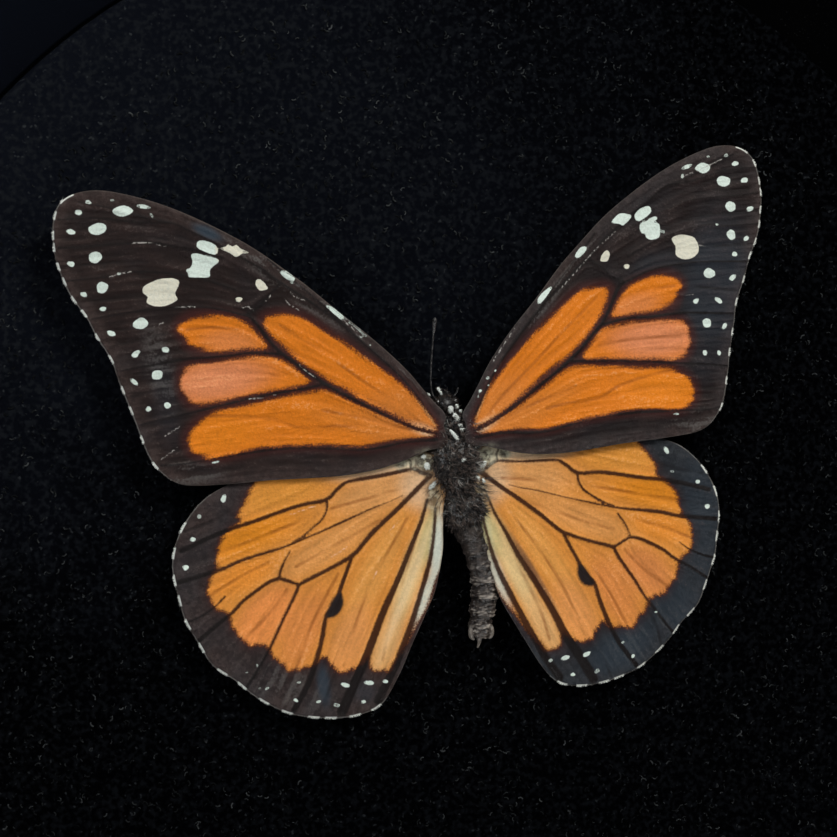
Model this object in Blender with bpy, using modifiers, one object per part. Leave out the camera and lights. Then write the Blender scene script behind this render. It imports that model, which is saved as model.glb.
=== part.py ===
"""A spread butterfly on a black velvet pad, under a clear glass dome on a turned black base.

Metres, +Z up. The origin is the centre of the base's underside. The butterfly's head points towards +Y,
turned a little to the left, and its right wings lie towards +X.
"""

import math

import bpy
from mathutils import Vector

MM = 0.001
GAP = 0.3 * MM  # kept between pieces that touch
TURNED_STEPS = 48  # flat sides of every turned piece

# Base: a turned disc with a recess for the pad and a groove for the dome's foot.
BASE_HEIGHT = 16.0 * MM
BASE_FOOT_RADIUS = 90.0 * MM
PLATEAU_RADIUS = 85.5 * MM
PLATEAU_ROUNDING = 1.5 * MM
STEP_HEIGHT = 12.0 * MM  # where the plateau's side meets the cove
COVE_RADIUS = 2.5 * MM
BEAD_RADIUS = 4.0 * MM
BEAD_HEIGHT = 4.5 * MM  # the bead's centre above the table
GROOVE_DEPTH = 3.0 * MM
RECESS_DEPTH = 1.2 * MM

# Velvet pad: a round board covered in cloth.
PAD_RADIUS = 70.0 * MM
PAD_THICKNESS = 3.0 * MM
PAD_ROUNDING = 0.8 * MM
VELVET_TOP = BASE_HEIGHT - RECESS_DEPTH + GAP + PAD_THICKNESS

# Glass dome: a straight wall below an elliptical top.
DOME_RADIUS = 81.5 * MM
DOME_WALL = 2.5 * MM
DOME_SHOULDER = 36.0 * MM  # height at which the straight wall ends
DOME_TOP = 91.0 * MM

# Where the butterfly lies: the point below its wing roots, on the velvet.
SPECIMEN_PLACE = (-2.3 * MM, 10.2 * MM, VELVET_TOP)
SPECIMEN_TURN = math.radians(3.2)

# Wings. Outlines are in millimetres from the wing's root: outwards, then towards the head.
WING_THICKNESS = 0.3 * MM
FOREWING_OUTLINE = (
    (0.5, 3.4), (2.2, 6.3), (4.6, 9.3), (9.8, 14.8), (14.5, 19.4), (19.7, 23.9), (26.6, 27.9),
    (32.4, 30.2), (36.0, 30.7), (38.6, 29.8), (39.7, 27.5), (39.8, 24.0), (38.7, 20.0), (37.2, 17.4),
    (36.2, 15.0), (34.9, 12.4), (34.3, 10.0), (33.1, 6.0), (31.9, 1.8), (30.6, -0.3), (28.4, -1.8),
    (24.0, -2.2), (18.3, -2.3), (12.0, -2.6), (6.2, -2.2), (2.6, -1.4), (0.5, -0.4),
)
HINDWING_OUTLINE = (
    (0.7, 1.6), (3.5, 4.0), (8.5, 4.9), (14.0, 4.9), (19.0, 4.3), (22.8, 3.4), (25.8, 2.2),
    (28.2, 0.1), (29.8, -2.4), (30.5, -5.2), (30.2, -8.5), (29.8, -10.9), (28.6, -13.8), (27.4, -16.3),
    (25.2, -18.3), (23.0, -20.6), (19.8, -22.8), (16.0, -24.0), (12.2, -24.3), (9.2, -23.4),
    (7.0, -20.8), (4.6, -16.7), (2.7, -13.2), (1.7, -9.8), (1.0, -6.4), (0.6, -3.4), (0.5, -0.8),
)
# Each wing's root in millimetres, and in degrees how far the tip droops, how far the front edge is
# lifted and how far the tip is swept towards the head.
WING_POSES = {
    "forewing_left": {"root": (-2.0, 0.0, 5.8), "droop": 4.5, "lift": 3.0, "sweep": -2.5},
    "forewing_right": {"root": (2.0, 0.0, 5.8), "droop": 5.5, "lift": -3.0, "sweep": 2.6},
    "hindwing_left": {"root": (-2.0, -4.7, 4.7), "droop": 4.0, "lift": 4.0, "sweep": -4.5},
    "hindwing_right": {"root": (2.0, -4.7, 4.7), "droop": 5.0, "lift": 4.0, "sweep": 0.8},
}

# Body, in millimetres from the specimen's place: centres and half sizes of the rounded parts.
THORAX_CENTRE = (0.2, -2.2, 3.9)
THORAX_HALF = (2.4, 4.9, 2.7)
HEAD_CENTRE = (-0.1, 4.25, 3.5)
HEAD_HALF = (1.2, 1.3, 1.3)
EYE_OFFSET = (0.8, 0.25, 0.1)
EYE_RADIUS = 0.8
PALP_OFFSET = (0.35, 1.3, -0.3)
PALP_HALF = (0.28, 0.75, 0.32)
PALP_TILT = math.radians(35)

# Abdomen: a row of ring segments whose axis bends to the right and sinks towards the velvet.
ABDOMEN_START = (0.35, -7.5, 3.05)
ABDOMEN_LENGTH = 15.5
ABDOMEN_BEND = 2.8
ABDOMEN_BEND_LENGTH = 12.0
ABDOMEN_SINK = 1.15
SEGMENT_RADII = (1.62, 1.7, 1.62, 1.5, 1.45, 1.48, 1.5, 1.32)
GROOVE_SHARE = 0.9  # radius of the groove between two segments, as a share of the segment's
TAIL_RADIUS = 0.45

# Thin parts: routes in millimetres from the specimen's place, with their radii.
ANTENNA_RADIUS = 0.13
CLUB_RADIUS = 0.28
ANTENNA_LEFT_ROUTE = (
    (-0.75, 5.55, 4.6), (-1.5, 6.0, 4.8), (-2.1, 7.5, 5.2), (-2.4, 9.5, 6.0),
    (-2.45, 11.5, 6.9), (-2.4, 12.4, 7.3), (-2.4, 13.3, 7.7),
)
ANTENNA_RIGHT_ROUTE = ((0.5, 5.55, 4.6), (0.85, 6.1, 4.8), (1.0, 6.9, 5.0))
LEG_RADIUS = 0.17
MIDDLE_LEG_ROUTE = ((1.5, 0.3, 1.5), (2.6, 1.2, 1.2), (3.7, 0.5, 0.7), (4.4, -0.8, 0.45), (4.9, -2.2, 0.4))
HIND_LEG_ROUTE = ((1.4, -4.4, 1.5), (2.7, -3.8, 1.2), (3.9, -5.0, 0.7), (4.5, -6.8, 0.45), (4.8, -8.4, 0.4))
PROBOSCIS_CENTRE = (-0.1, 4.9, 1.1)
PROBOSCIS_RADIUS = 0.12
PROBOSCIS_OUTER = 0.7
PROBOSCIS_INNER = 0.2
PROBOSCIS_TURNS = 1.5

# Colour, roughness, metallic and transmission of each material.
LOOKS = {
    "black_lacquer": ((0.012, 0.012, 0.013), 0.3, 0.0, 0.0),
    "black_velvet": ((0.006, 0.006, 0.007), 0.95, 0.0, 0.0),
    "clear_glass": ((1.0, 1.0, 1.0), 0.02, 0.0, 1.0),
    "wing_orange": ((0.62, 0.19, 0.03), 0.6, 0.0, 0.0),
    "hindwing_orange": ((0.68, 0.27, 0.06), 0.6, 0.0, 0.0),
    "black_fur": ((0.03, 0.028, 0.03), 0.85, 0.0, 0.0),
    "abdomen_brown": ((0.09, 0.07, 0.055), 0.8, 0.0, 0.0),
    "dark_horn": ((0.02, 0.018, 0.016), 0.45, 0.0, 0.0),
}


def clear_scene():
    for obj in list(bpy.data.objects):
        bpy.data.objects.remove(obj, do_unlink=True)


def make_collection(name):
    collection = bpy.data.collections.new(name)
    bpy.context.scene.collection.children.link(collection)
    return collection


def make_material(name):
    colour, roughness, metallic, transmission = LOOKS[name]
    material = bpy.data.materials.new(name)
    material.use_nodes = True
    shader = material.node_tree.nodes["Principled BSDF"]
    shader.inputs["Base Color"].default_value = (*colour, 1.0)
    shader.inputs["Roughness"].default_value = roughness
    shader.inputs["Metallic"].default_value = metallic
    shader.inputs["Transmission Weight"].default_value = transmission
    return material


def add_object(name, data, collection, look, parent=None):
    obj = bpy.data.objects.new(name, data)
    collection.objects.link(obj)
    obj.parent = parent
    if look:
        data.materials.append(make_material(look))
    return obj


def millimetres(point):
    return Vector(point) * MM


def arc(centre, radius, start, end, steps):
    """Points on a round or elliptical stretch of a profile, with angles in degrees."""
    across, up = radius if isinstance(radius, tuple) else (radius, radius)
    points = []
    for step in range(steps + 1):
        angle = math.radians(start + (end - start) * step / steps)
        points.append((centre[0] + across * math.cos(angle), centre[1] + up * math.sin(angle)))
    return points


def turned_piece(name, profile, collection, look):
    """Turns a profile of (radius, height) points, which runs down its outer side, about Z."""
    mesh = bpy.data.meshes.new(name)
    edges = [(index, index + 1) for index in range(len(profile) - 1)]
    mesh.from_pydata([(radius, 0.0, height) for radius, height in profile], edges, [])
    obj = add_object(name, mesh, collection, look)
    screw = obj.modifiers.new("turned", "SCREW")
    screw.steps = TURNED_STEPS
    screw.render_steps = TURNED_STEPS
    screw.use_merge_vertices = True
    screw.merge_threshold = 0.00001
    screw.use_smooth_shade = True
    return obj


def make_base(collection):
    recess = PAD_RADIUS + GAP
    groove_outer = DOME_RADIUS + GAP
    groove_inner = DOME_RADIUS - DOME_WALL - GAP
    recess_floor = BASE_HEIGHT - RECESS_DEPTH
    groove_floor = BASE_HEIGHT - GROOVE_DEPTH
    profile = [
        (0.0, recess_floor),
        (recess, recess_floor),
        (recess, BASE_HEIGHT),
        (groove_inner, BASE_HEIGHT),
        (groove_inner, groove_floor),
        (groove_outer, groove_floor),
        (groove_outer, BASE_HEIGHT),
    ]
    rounding_centre = (PLATEAU_RADIUS - PLATEAU_ROUNDING, BASE_HEIGHT - PLATEAU_ROUNDING)
    profile += arc(rounding_centre, PLATEAU_ROUNDING, 90, 0, 3)
    profile += arc((PLATEAU_RADIUS + COVE_RADIUS, STEP_HEIGHT), COVE_RADIUS, 180, 270, 4)
    bead_centre = (PLATEAU_RADIUS + COVE_RADIUS, BEAD_HEIGHT)
    profile += arc(bead_centre, BEAD_RADIUS, 90, -60, 5)
    profile += [(BASE_FOOT_RADIUS, 0.0), (0.0, 0.0)]
    return turned_piece("base", profile, collection, "black_lacquer")


def make_pad(collection):
    bpy.ops.mesh.primitive_cylinder_add(
        vertices=TURNED_STEPS, radius=PAD_RADIUS, depth=PAD_THICKNESS,
        location=(0.0, 0.0, VELVET_TOP - PAD_THICKNESS / 2),
    )
    pad = bpy.context.object
    pad.name = "velvet_pad"
    move_to(pad, collection)
    rounding = pad.modifiers.new("rounding", "BEVEL")
    rounding.width = PAD_ROUNDING
    rounding.segments = 2
    rounding.limit_method = "ANGLE"
    pad.data.materials.append(make_material("black_velvet"))
    return pad


def make_dome(collection):
    foot = BASE_HEIGHT - GROOVE_DEPTH + GAP
    inner_radius = DOME_RADIUS - DOME_WALL
    rise = DOME_TOP - DOME_SHOULDER
    outer = arc((0.0, DOME_SHOULDER), (DOME_RADIUS, rise), 90, 0, 10)
    inner = arc((0.0, DOME_SHOULDER), (inner_radius, rise - DOME_WALL), 0, 90, 10)
    outer[0] = (0.0, DOME_TOP)
    inner[-1] = (0.0, DOME_TOP - DOME_WALL)
    rounded_foot = arc((DOME_RADIUS - DOME_WALL / 2, foot + DOME_WALL / 2), DOME_WALL / 2, 0, -180, 4)
    return turned_piece("glass_dome", outer + rounded_foot + inner, collection, "clear_glass")


def move_to(obj, collection):
    for old in list(obj.users_collection):
        old.objects.unlink(obj)
    collection.objects.link(obj)


def ball(name, centre, half, collection, look, parent, segments=20, rings=12):
    """A rounded body with its own half size along each axis."""
    bpy.ops.mesh.primitive_uv_sphere_add(segments=segments, ring_count=rings, radius=1.0)
    obj = bpy.context.object
    obj.name = name
    move_to(obj, collection)
    obj.parent = parent
    for vertex in obj.data.vertices:
        vertex.co = Vector(side * size * MM for side, size in zip(vertex.co, half))
    obj.data.shade_smooth()
    obj.location = millimetres(centre)
    if look:
        obj.data.materials.append(make_material(look))
    return obj


def make_wing(name, outline, look, collection, parent):
    """A thin plate with the wing's outline, hinged at its root. A left wing is mirrored."""
    side = -1.0 if name.endswith("left") else 1.0
    pose = WING_POSES[name]
    curve = bpy.data.curves.new(name, "CURVE")
    curve.dimensions = "2D"
    curve.fill_mode = "BOTH"
    curve.extrude = WING_THICKNESS / 2
    curve.resolution_u = 3
    spline = curve.splines.new("BEZIER")
    spline.bezier_points.add(len(outline) - 1)
    for point, (out, forward) in zip(spline.bezier_points, outline):
        point.co = (side * out * MM, forward * MM, 0.0)
        point.handle_left_type = "AUTO"
        point.handle_right_type = "AUTO"
    spline.use_cyclic_u = True
    wing = add_object(name, curve, collection, look, parent)
    wing.location = millimetres(pose["root"])
    lift, droop, sweep = (math.radians(pose[key]) for key in ("lift", "droop", "sweep"))
    wing.rotation_euler = (lift, side * droop, side * sweep)
    return wing


def tube(name, route, radii, collection, look, parent, resolution=1):
    """A tube along a route in millimetres, with a radius in millimetres at each of its points."""
    curve = bpy.data.curves.new(name, "CURVE")
    curve.dimensions = "3D"
    curve.bevel_depth = MM
    curve.bevel_resolution = resolution
    curve.use_fill_caps = True
    spline = curve.splines.new("POLY")
    spline.points.add(len(route) - 1)
    for point, place, radius in zip(spline.points, route, radii):
        point.co = (*millimetres(place), 1.0)
        point.radius = radius
    spline.use_smooth = True
    return add_object(name, curve, collection, look, parent)


def make_head(collection, cutters, parent):
    head = ball("head", HEAD_CENTRE, HEAD_HALF, collection, "black_fur", parent)
    for label, side in (("left", -1.0), ("right", 1.0)):
        eye_centre = Vector(HEAD_CENTRE) + Vector((side * EYE_OFFSET[0], *EYE_OFFSET[1:]))
        palp_centre = Vector(HEAD_CENTRE) + Vector((side * PALP_OFFSET[0], *PALP_OFFSET[1:]))
        eye = ball(f"eye_{label}", eye_centre, (EYE_RADIUS,) * 3, cutters, None, parent, 16, 10)
        palp = ball(f"palp_{label}", palp_centre, PALP_HALF, cutters, None, parent, 10, 8)
        palp.rotation_euler = (PALP_TILT, 0.0, 0.0)
        for joined in (eye, palp):
            joined.hide_render = True
            joined.display_type = "WIRE"
            union = head.modifiers.new(joined.name, "BOOLEAN")
            union.operation = "UNION"
            union.solver = "EXACT"
            union.object = joined
    return head


def abdomen_route():
    """Ring centres and radii: a groove and two bulging rings for each segment, then the tail."""
    route = []
    radii = []
    length = ABDOMEN_LENGTH / (len(SEGMENT_RADII) + 0.5)
    stops = []
    for index, radius in enumerate(SEGMENT_RADII):
        stops += [(index, radius * GROOVE_SHARE), (index + 0.3, radius), (index + 0.75, radius * 0.98)]
    stops += [(len(SEGMENT_RADII), TAIL_RADIUS * 1.8), (len(SEGMENT_RADII) + 0.5, TAIL_RADIUS)]
    for stop, radius in stops:
        along = stop * length
        bend = ABDOMEN_BEND * math.sin(math.pi / 2 * along / ABDOMEN_BEND_LENGTH)
        sink = ABDOMEN_SINK * math.sin(math.pi / 2 * along / ABDOMEN_LENGTH)
        route.append((ABDOMEN_START[0] + bend, ABDOMEN_START[1] - along, ABDOMEN_START[2] - sink))
        radii.append(radius)
    return route, radii


def proboscis_route():
    """A coil in the plane through the head's middle."""
    route = []
    steps = 18
    for step in range(steps + 1):
        share = step / steps
        angle = math.radians(90) + math.tau * PROBOSCIS_TURNS * share
        radius = PROBOSCIS_OUTER + (PROBOSCIS_INNER - PROBOSCIS_OUTER) * share
        offset = Vector((0.0, radius * math.cos(angle), radius * math.sin(angle)))
        route.append(Vector(PROBOSCIS_CENTRE) + offset)
    return route


def make_limbs(collection, parent):
    antenna_radii = [ANTENNA_RADIUS] * 5 + [CLUB_RADIUS, CLUB_RADIUS * 0.7]
    tube("antenna_left", ANTENNA_LEFT_ROUTE, antenna_radii, collection, "dark_horn", parent)
    tube("antenna_right", ANTENNA_RIGHT_ROUTE, [ANTENNA_RADIUS] * 3, collection, "dark_horn", parent)
    coil = proboscis_route()
    tube("proboscis", coil, [PROBOSCIS_RADIUS] * len(coil), collection, "dark_horn", parent)
    for label, side in (("left", -1.0), ("right", 1.0)):
        for pair, leg_route in (("middle", MIDDLE_LEG_ROUTE), ("hind", HIND_LEG_ROUTE)):
            route = [(side * place[0], place[1], place[2]) for place in leg_route]
            radii = [LEG_RADIUS] * len(route)
            tube(f"leg_{pair}_{label}", route, radii, collection, "dark_horn", parent)


def make_specimen(collection, cutters):
    place = bpy.data.objects.new("specimen_place", None)
    collection.objects.link(place)
    place.location = SPECIMEN_PLACE
    place.rotation_euler = (0.0, 0.0, SPECIMEN_TURN)
    make_head(collection, cutters, place)
    ball("thorax", THORAX_CENTRE, THORAX_HALF, collection, "black_fur", place, 24, 14)
    route, radii = abdomen_route()
    tube("abdomen", route, radii, collection, "abdomen_brown", place, resolution=4)
    for name in WING_POSES:
        front = name.startswith("forewing")
        outline = FOREWING_OUTLINE if front else HINDWING_OUTLINE
        make_wing(name, outline, "wing_orange" if front else "hindwing_orange", collection, place)
    make_limbs(collection, place)


def main():
    clear_scene()
    collection = make_collection("insect_in_glass_dome")
    cutters = make_collection("joined_shapes")
    make_base(collection)
    make_pad(collection)
    make_dome(collection)
    make_specimen(collection, cutters)


main()
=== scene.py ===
import math

import bpy
import numpy as np
from mathutils import Euler, Matrix, Vector
from mathutils import noise as value_noise
from mathutils.geometry import delaunay_2d_cdt


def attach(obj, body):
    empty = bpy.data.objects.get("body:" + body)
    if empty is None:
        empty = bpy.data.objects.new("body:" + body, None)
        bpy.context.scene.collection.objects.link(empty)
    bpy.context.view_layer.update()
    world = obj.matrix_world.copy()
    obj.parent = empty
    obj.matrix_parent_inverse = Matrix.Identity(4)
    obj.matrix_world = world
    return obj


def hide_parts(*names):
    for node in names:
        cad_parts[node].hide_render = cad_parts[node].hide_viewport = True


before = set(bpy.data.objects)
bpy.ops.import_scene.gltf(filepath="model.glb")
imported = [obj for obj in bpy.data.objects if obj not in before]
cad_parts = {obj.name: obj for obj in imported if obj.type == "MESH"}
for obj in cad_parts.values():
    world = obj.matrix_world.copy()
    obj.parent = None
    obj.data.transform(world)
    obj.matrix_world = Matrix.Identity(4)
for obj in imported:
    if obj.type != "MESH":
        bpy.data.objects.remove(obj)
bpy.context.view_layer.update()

MM = 0.001

# ---------------------------------------------------------------------------------------------------
# The base: a disc turned from close-grained wood, with a beaded foot, a groove that takes the glass
# and a shallow recess for the pad. It is stained black, lacquered and rubbed to a soft gloss.
# ---------------------------------------------------------------------------------------------------
BASE_HEIGHT = 16.0
BASE_FOOT_RADIUS = 90.0
FOOT_CHAMFER = 0.4
PLATEAU_RADIUS = 85.5
PLATEAU_ROUNDING = 1.5
STEP_HEIGHT = 12.0
COVE_RADIUS = 2.5
BEAD_RADIUS = 4.0
BEAD_HEIGHT = 4.5
RECESS_RADIUS = 70.3
RECESS_FLOOR = 14.8
GROOVE_INNER = 78.7
GROOVE_OUTER = 81.8
GROOVE_FLOOR = 13.0
EDGE_BREAK = 0.25  # every sharp edge is eased this far
LATHE_STEPS = 144
SHARP_BEND = math.radians(35)  # the least bend that shows as an edge

BLACK_STAIN = ((0.0004, 0.0004, 0.0005), (0.0013, 0.0012, 0.0013))  # hard and soft grain
DUST_GREY = (0.012, 0.012, 0.012)
LACQUER_PAINTED_SHEEN = (0.0060, 0.0078, 0.0135)  # a painted bluish sheen towards the back left, where the lacquer catches the light
GRAIN_STRETCH = (0.08, 1.0, 1.0)
GLOSS = (0.09, 0.08)  # the least roughness, and how much the rubbing adds


def arc(centre, radius, start, end, steps):
    """Points on a round or elliptical stretch of a turned profile, with angles in degrees."""
    across, up = radius if isinstance(radius, tuple) else (radius, radius)
    angles = np.radians(np.linspace(start, end, steps + 1))
    return [(centre[0] + across * math.cos(a), centre[1] + up * math.sin(a)) for a in angles]


def new_piece(name, places, faces, material):
    """A smooth object at the origin with its place in its mesh. Places are in millimetres."""
    mesh = bpy.data.meshes.new(name)
    mesh.from_pydata((np.asarray(places, float) * MM).tolist(), [], faces)
    mesh.materials.append(material)
    mesh.polygons.foreach_set("use_smooth", [True] * len(mesh.polygons))
    mesh.update()
    piece = bpy.data.objects.new(name, mesh)
    bpy.context.scene.collection.objects.link(piece)
    return piece


def turn(name, profile, material):
    """Turns a closed profile of (radius, height) points that starts and ends on the axis."""
    places, faces, rings = [], [], []
    for radius, height in profile:
        if radius == 0.0:
            rings.append([len(places)] * LATHE_STEPS)
            places.append((0.0, 0.0, height))
            continue
        rings.append(list(range(len(places), len(places) + LATHE_STEPS)))
        for angle in np.arange(LATHE_STEPS) * math.tau / LATHE_STEPS:
            places.append((radius * math.cos(angle), radius * math.sin(angle), height))
    for upper, lower in zip(rings, rings[1:]):
        for step in range(LATHE_STEPS):
            after = (step + 1) % LATHE_STEPS
            corners = (upper[step], lower[step], lower[after], upper[after])
            faces.append(tuple(dict.fromkeys(corners)))
    piece = new_piece(name, places, faces, material)
    piece.data.set_sharp_from_angle(angle=SHARP_BEND)
    return piece


def node(tree, kind, inputs=None, **settings):
    """Adds a node. Inputs are values, or the outputs of other nodes."""
    made = tree.nodes.new(kind)
    for key, value in settings.items():
        setattr(made, key, value)
    for key, value in (inputs or {}).items():
        if isinstance(value, bpy.types.NodeSocket):
            tree.links.new(value, made.inputs[key])
        else:
            made.inputs[key].default_value = value
    return made


def maths(tree, operation, *values, clamp=False):
    made = node(tree, "ShaderNodeMath", dict(enumerate(values)), operation=operation, use_clamp=clamp)
    return made.outputs[0]


def times(tree, *values):
    """Multiplies two or more values."""
    product = values[0]
    for value in values[1:]:
        product = maths(tree, "MULTIPLY", product, value)
    return product


def plus(tree, first, second):
    return maths(tree, "ADD", first, second)


def minus(tree, first, second):
    return maths(tree, "SUBTRACT", first, second)


def scaled(tree, value, gain, base):
    """The value times its gain, on top of a base."""
    return maths(tree, "MULTIPLY_ADD", value, gain, base)


def blend(tree, share, first, second, mode="MIX"):
    """Mixes two colours, each an (r, g, b) or a socket."""
    first, second = (c if isinstance(c, bpy.types.NodeSocket) else (*c, 1.0) for c in (first, second))
    made = node(tree, "ShaderNodeMix", {0: share, 6: first, 7: second}, data_type="RGBA", blend_type=mode)
    return made.outputs[2]


def layered(tree, colour, *layers):
    """Lays each (share, paint) over all that lies below it."""
    for share, paint in layers:
        colour = blend(tree, share, colour, paint)
    return colour


def ramp(tree, value, low, high, smooth=True):
    """0 at low and 1 at high, whichever is the greater."""
    made = node(tree, "ShaderNodeMapRange", {"Value": value, "From Min": low, "From Max": high})
    made.interpolation_type = "SMOOTHSTEP" if smooth else "LINEAR"
    return made.outputs["Result"]


def in_millimetres(tree, stretch=(1.0, 1.0, 1.0)):
    """Object coordinates in millimetres, stretched along each axis."""
    place = node(tree, "ShaderNodeTexCoord").outputs["Object"]
    scale = tuple(share / MM for share in stretch)
    return node(tree, "ShaderNodeMapping", {"Vector": place, "Scale": scale}).outputs["Vector"]


def apart(tree, vector):
    """A vector's three numbers."""
    return node(tree, "ShaderNodeSeparateXYZ", {0: vector}).outputs


def noise(tree, vector, size, detail=2.0, roughness=0.5):
    """Cloudy noise with features of about that size in the vector's units."""
    inputs = {"Vector": vector, "Scale": 1.0 / size, "Detail": detail, "Roughness": roughness}
    return node(tree, "ShaderNodeTexNoise", inputs).outputs["Fac"]


def new_material(name):
    """A material with only its shader and output, for the section to wire up."""
    material = bpy.data.materials.new(name)
    material.use_nodes = True
    tree = material.node_tree
    return material, tree, tree.nodes["Principled BSDF"]


def feed(tree, shader, **sockets):
    """Feeds the shader's sockets, named with _ for a space."""
    for key, value in sockets.items():
        socket = shader.inputs[key.replace("_", " ")]
        if isinstance(value, bpy.types.NodeSocket):
            tree.links.new(value, socket)
        else:
            socket.default_value = value


def relief(tree, shader, height, depth, strength):
    """A bump of that depth in millimetres."""
    bump = node(tree, "ShaderNodeBump", {"Height": height, "Distance": depth * MM, "Strength": strength})
    tree.links.new(bump.outputs["Normal"], shader.inputs["Normal"])


def new_mask_group(name, **inputs):
    """A node group that takes numbers, named with _ for a space, and puts out one mask."""
    group = bpy.data.node_groups.new(name, "ShaderNodeTree")
    for key, default in inputs.items():
        label = key.replace("_", " ")
        made = group.interface.new_socket(label, in_out="INPUT", socket_type="NodeSocketFloat")
        made.default_value = default
    group.interface.new_socket("Mask", in_out="OUTPUT", socket_type="NodeSocketFloat")
    return group, node(group, "NodeGroupInput").outputs, node(group, "NodeGroupOutput").inputs["Mask"]


def mask_of(tree, group, **inputs):
    """Places a mask group in a material with its own values."""
    labels = {key.replace("_", " "): value for key, value in inputs.items()}
    return node(tree, "ShaderNodeGroup", labels, node_tree=group).outputs["Mask"]


def make_dust_group():
    """Specks of dust and lint: sparse fine points in drifts."""
    group, entry, mask = new_mask_group("settled_dust", Speck_Size=0.2, Drift_Size=6.0, Amount=0.5)
    vector = in_millimetres(group)
    specks, drifts = (
        node(group, "ShaderNodeTexNoise", {
            "Vector": vector, "Scale": maths(group, "DIVIDE", 1.0, entry[key]), "Detail": detail,
        }).outputs["Fac"]
        for key, detail in (("Speck Size", 1.0), ("Drift Size", 3.0)))
    limit = minus(group, minus(group, 0.86, times(group, entry["Amount"], 0.2)), times(group, drifts, 0.2))
    group.links.new(maths(group, "MULTIPLY", minus(group, specks, limit), 14.0, clamp=True), mask)
    return group


def make_lacquer():
    material, tree, shader = new_material("black_lacquer")
    vector = in_millimetres(tree)
    grain = noise(tree, in_millimetres(tree, GRAIN_STRETCH), 0.7, detail=4.0)
    orange_peel = noise(tree, vector, 1.6, detail=1.0)
    specks = mask_of(tree, settled_dust, Speck_Size=0.22, Drift_Size=9.0, Amount=0.20)
    across, forward, _ = apart(tree, vector)
    # Painted sheen: a bluish reflection painted into the colour towards the back left.
    painted_sheen = times(tree, ramp(tree, across, 20.0, -60.0), ramp(tree, forward, 0.0, 60.0))
    colour = layered(tree, blend(tree, grain, *BLACK_STAIN), (specks, DUST_GREY), (painted_sheen, LACQUER_PAINTED_SHEEN))
    rough = plus(tree, GLOSS[0], times(tree, noise(tree, vector, 14.0, detail=4.0), GLOSS[1]))
    feed(tree, shader, Base_Color=colour, Roughness=maths(tree, "MAXIMUM", rough, specks), IOR=1.5)
    relief(tree, shader, plus(tree, times(tree, grain, 0.35), orange_peel), depth=0.02, strength=0.2)
    return material


settled_dust = make_dust_group()
eased_top = BASE_HEIGHT - EDGE_BREAK
base_profile = [
    (0.0, RECESS_FLOOR), (RECESS_RADIUS, RECESS_FLOOR),
    *arc((RECESS_RADIUS + EDGE_BREAK, eased_top), EDGE_BREAK, 180, 90, 3),
    *arc((GROOVE_INNER - EDGE_BREAK, eased_top), EDGE_BREAK, 90, 0, 3),
    (GROOVE_INNER, GROOVE_FLOOR), (GROOVE_OUTER, GROOVE_FLOOR),
    *arc((GROOVE_OUTER + EDGE_BREAK, eased_top), EDGE_BREAK, 180, 90, 3),
    *arc((PLATEAU_RADIUS - PLATEAU_ROUNDING, BASE_HEIGHT - PLATEAU_ROUNDING), PLATEAU_ROUNDING, 90, 0, 8),
    *arc((PLATEAU_RADIUS + COVE_RADIUS, STEP_HEIGHT), COVE_RADIUS, 180, 270, 10),
    *arc((PLATEAU_RADIUS + COVE_RADIUS, BEAD_HEIGHT), BEAD_RADIUS, 90, -60, 20),
    (BASE_FOOT_RADIUS, FOOT_CHAMFER), (BASE_FOOT_RADIUS - FOOT_CHAMFER, 0.0), (0.0, 0.0),
]
turned_base = turn("turned_base", base_profile, make_lacquer())
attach(turned_base, "root")
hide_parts("base")

# ---------------------------------------------------------------------------------------------------
# The pad: a thin round board with black velvet drawn over it and glued beneath, so its rim is rounded
# by the pile. Its black is painted lighter in drifts towards the back left, a painted sheen where the
# pile catches the light, and fine specks and fibres of lint have settled on it.
# ---------------------------------------------------------------------------------------------------
PAD_RADIUS = 70.0
PAD_BOTTOM = 15.1
PAD_TOP = 18.1
PAD_ROUNDING = 0.9
PAD_UNDERSIDE_ROUNDING = 0.35
PAD_RING_SPACING = 5.0
LINT_REACH = 62.0
LINT_CORNERS = 24
LINT_PER_SQUARE_MM = 0.50
LINT_CLEARANCE = 0.03  # between the pile and the fibres on it
LINT_LENGTH = 0.46
LINT_THICKNESS = 0.085

PILE_BLACK = (0.0005, 0.0005, 0.0007)
PILE_LIT = (0.0044, 0.0052, 0.0082)
PILE_TIPS = (0.0085, 0.0096, 0.0120)
PILE_DUST = (0.022, 0.024, 0.027)
LINT_SHADES = ((0.0024, 0.0028, 0.0034), (0.070, 0.074, 0.078))
SHEEN_DRIFT = 60.0  # how far the drifts move the edge of the painted sheen


def painted_nap_sheen(tree, vector):
    """Painted sheen: 0 where the pile leans away from the light and 1 where it catches it, towards the back
    left.
    """
    drift = minus(tree, noise(tree, vector, 26.0, detail=3.0, roughness=0.55), 0.5)
    across, forward, _ = apart(tree, vector)
    left = ramp(tree, scaled(tree, drift, -SHEEN_DRIFT, across), 26.0, -52.0, smooth=False)
    back = ramp(tree, scaled(tree, drift, SHEEN_DRIFT, forward), -10.0, 30.0, smooth=False)
    return times(tree, left, back)


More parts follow.
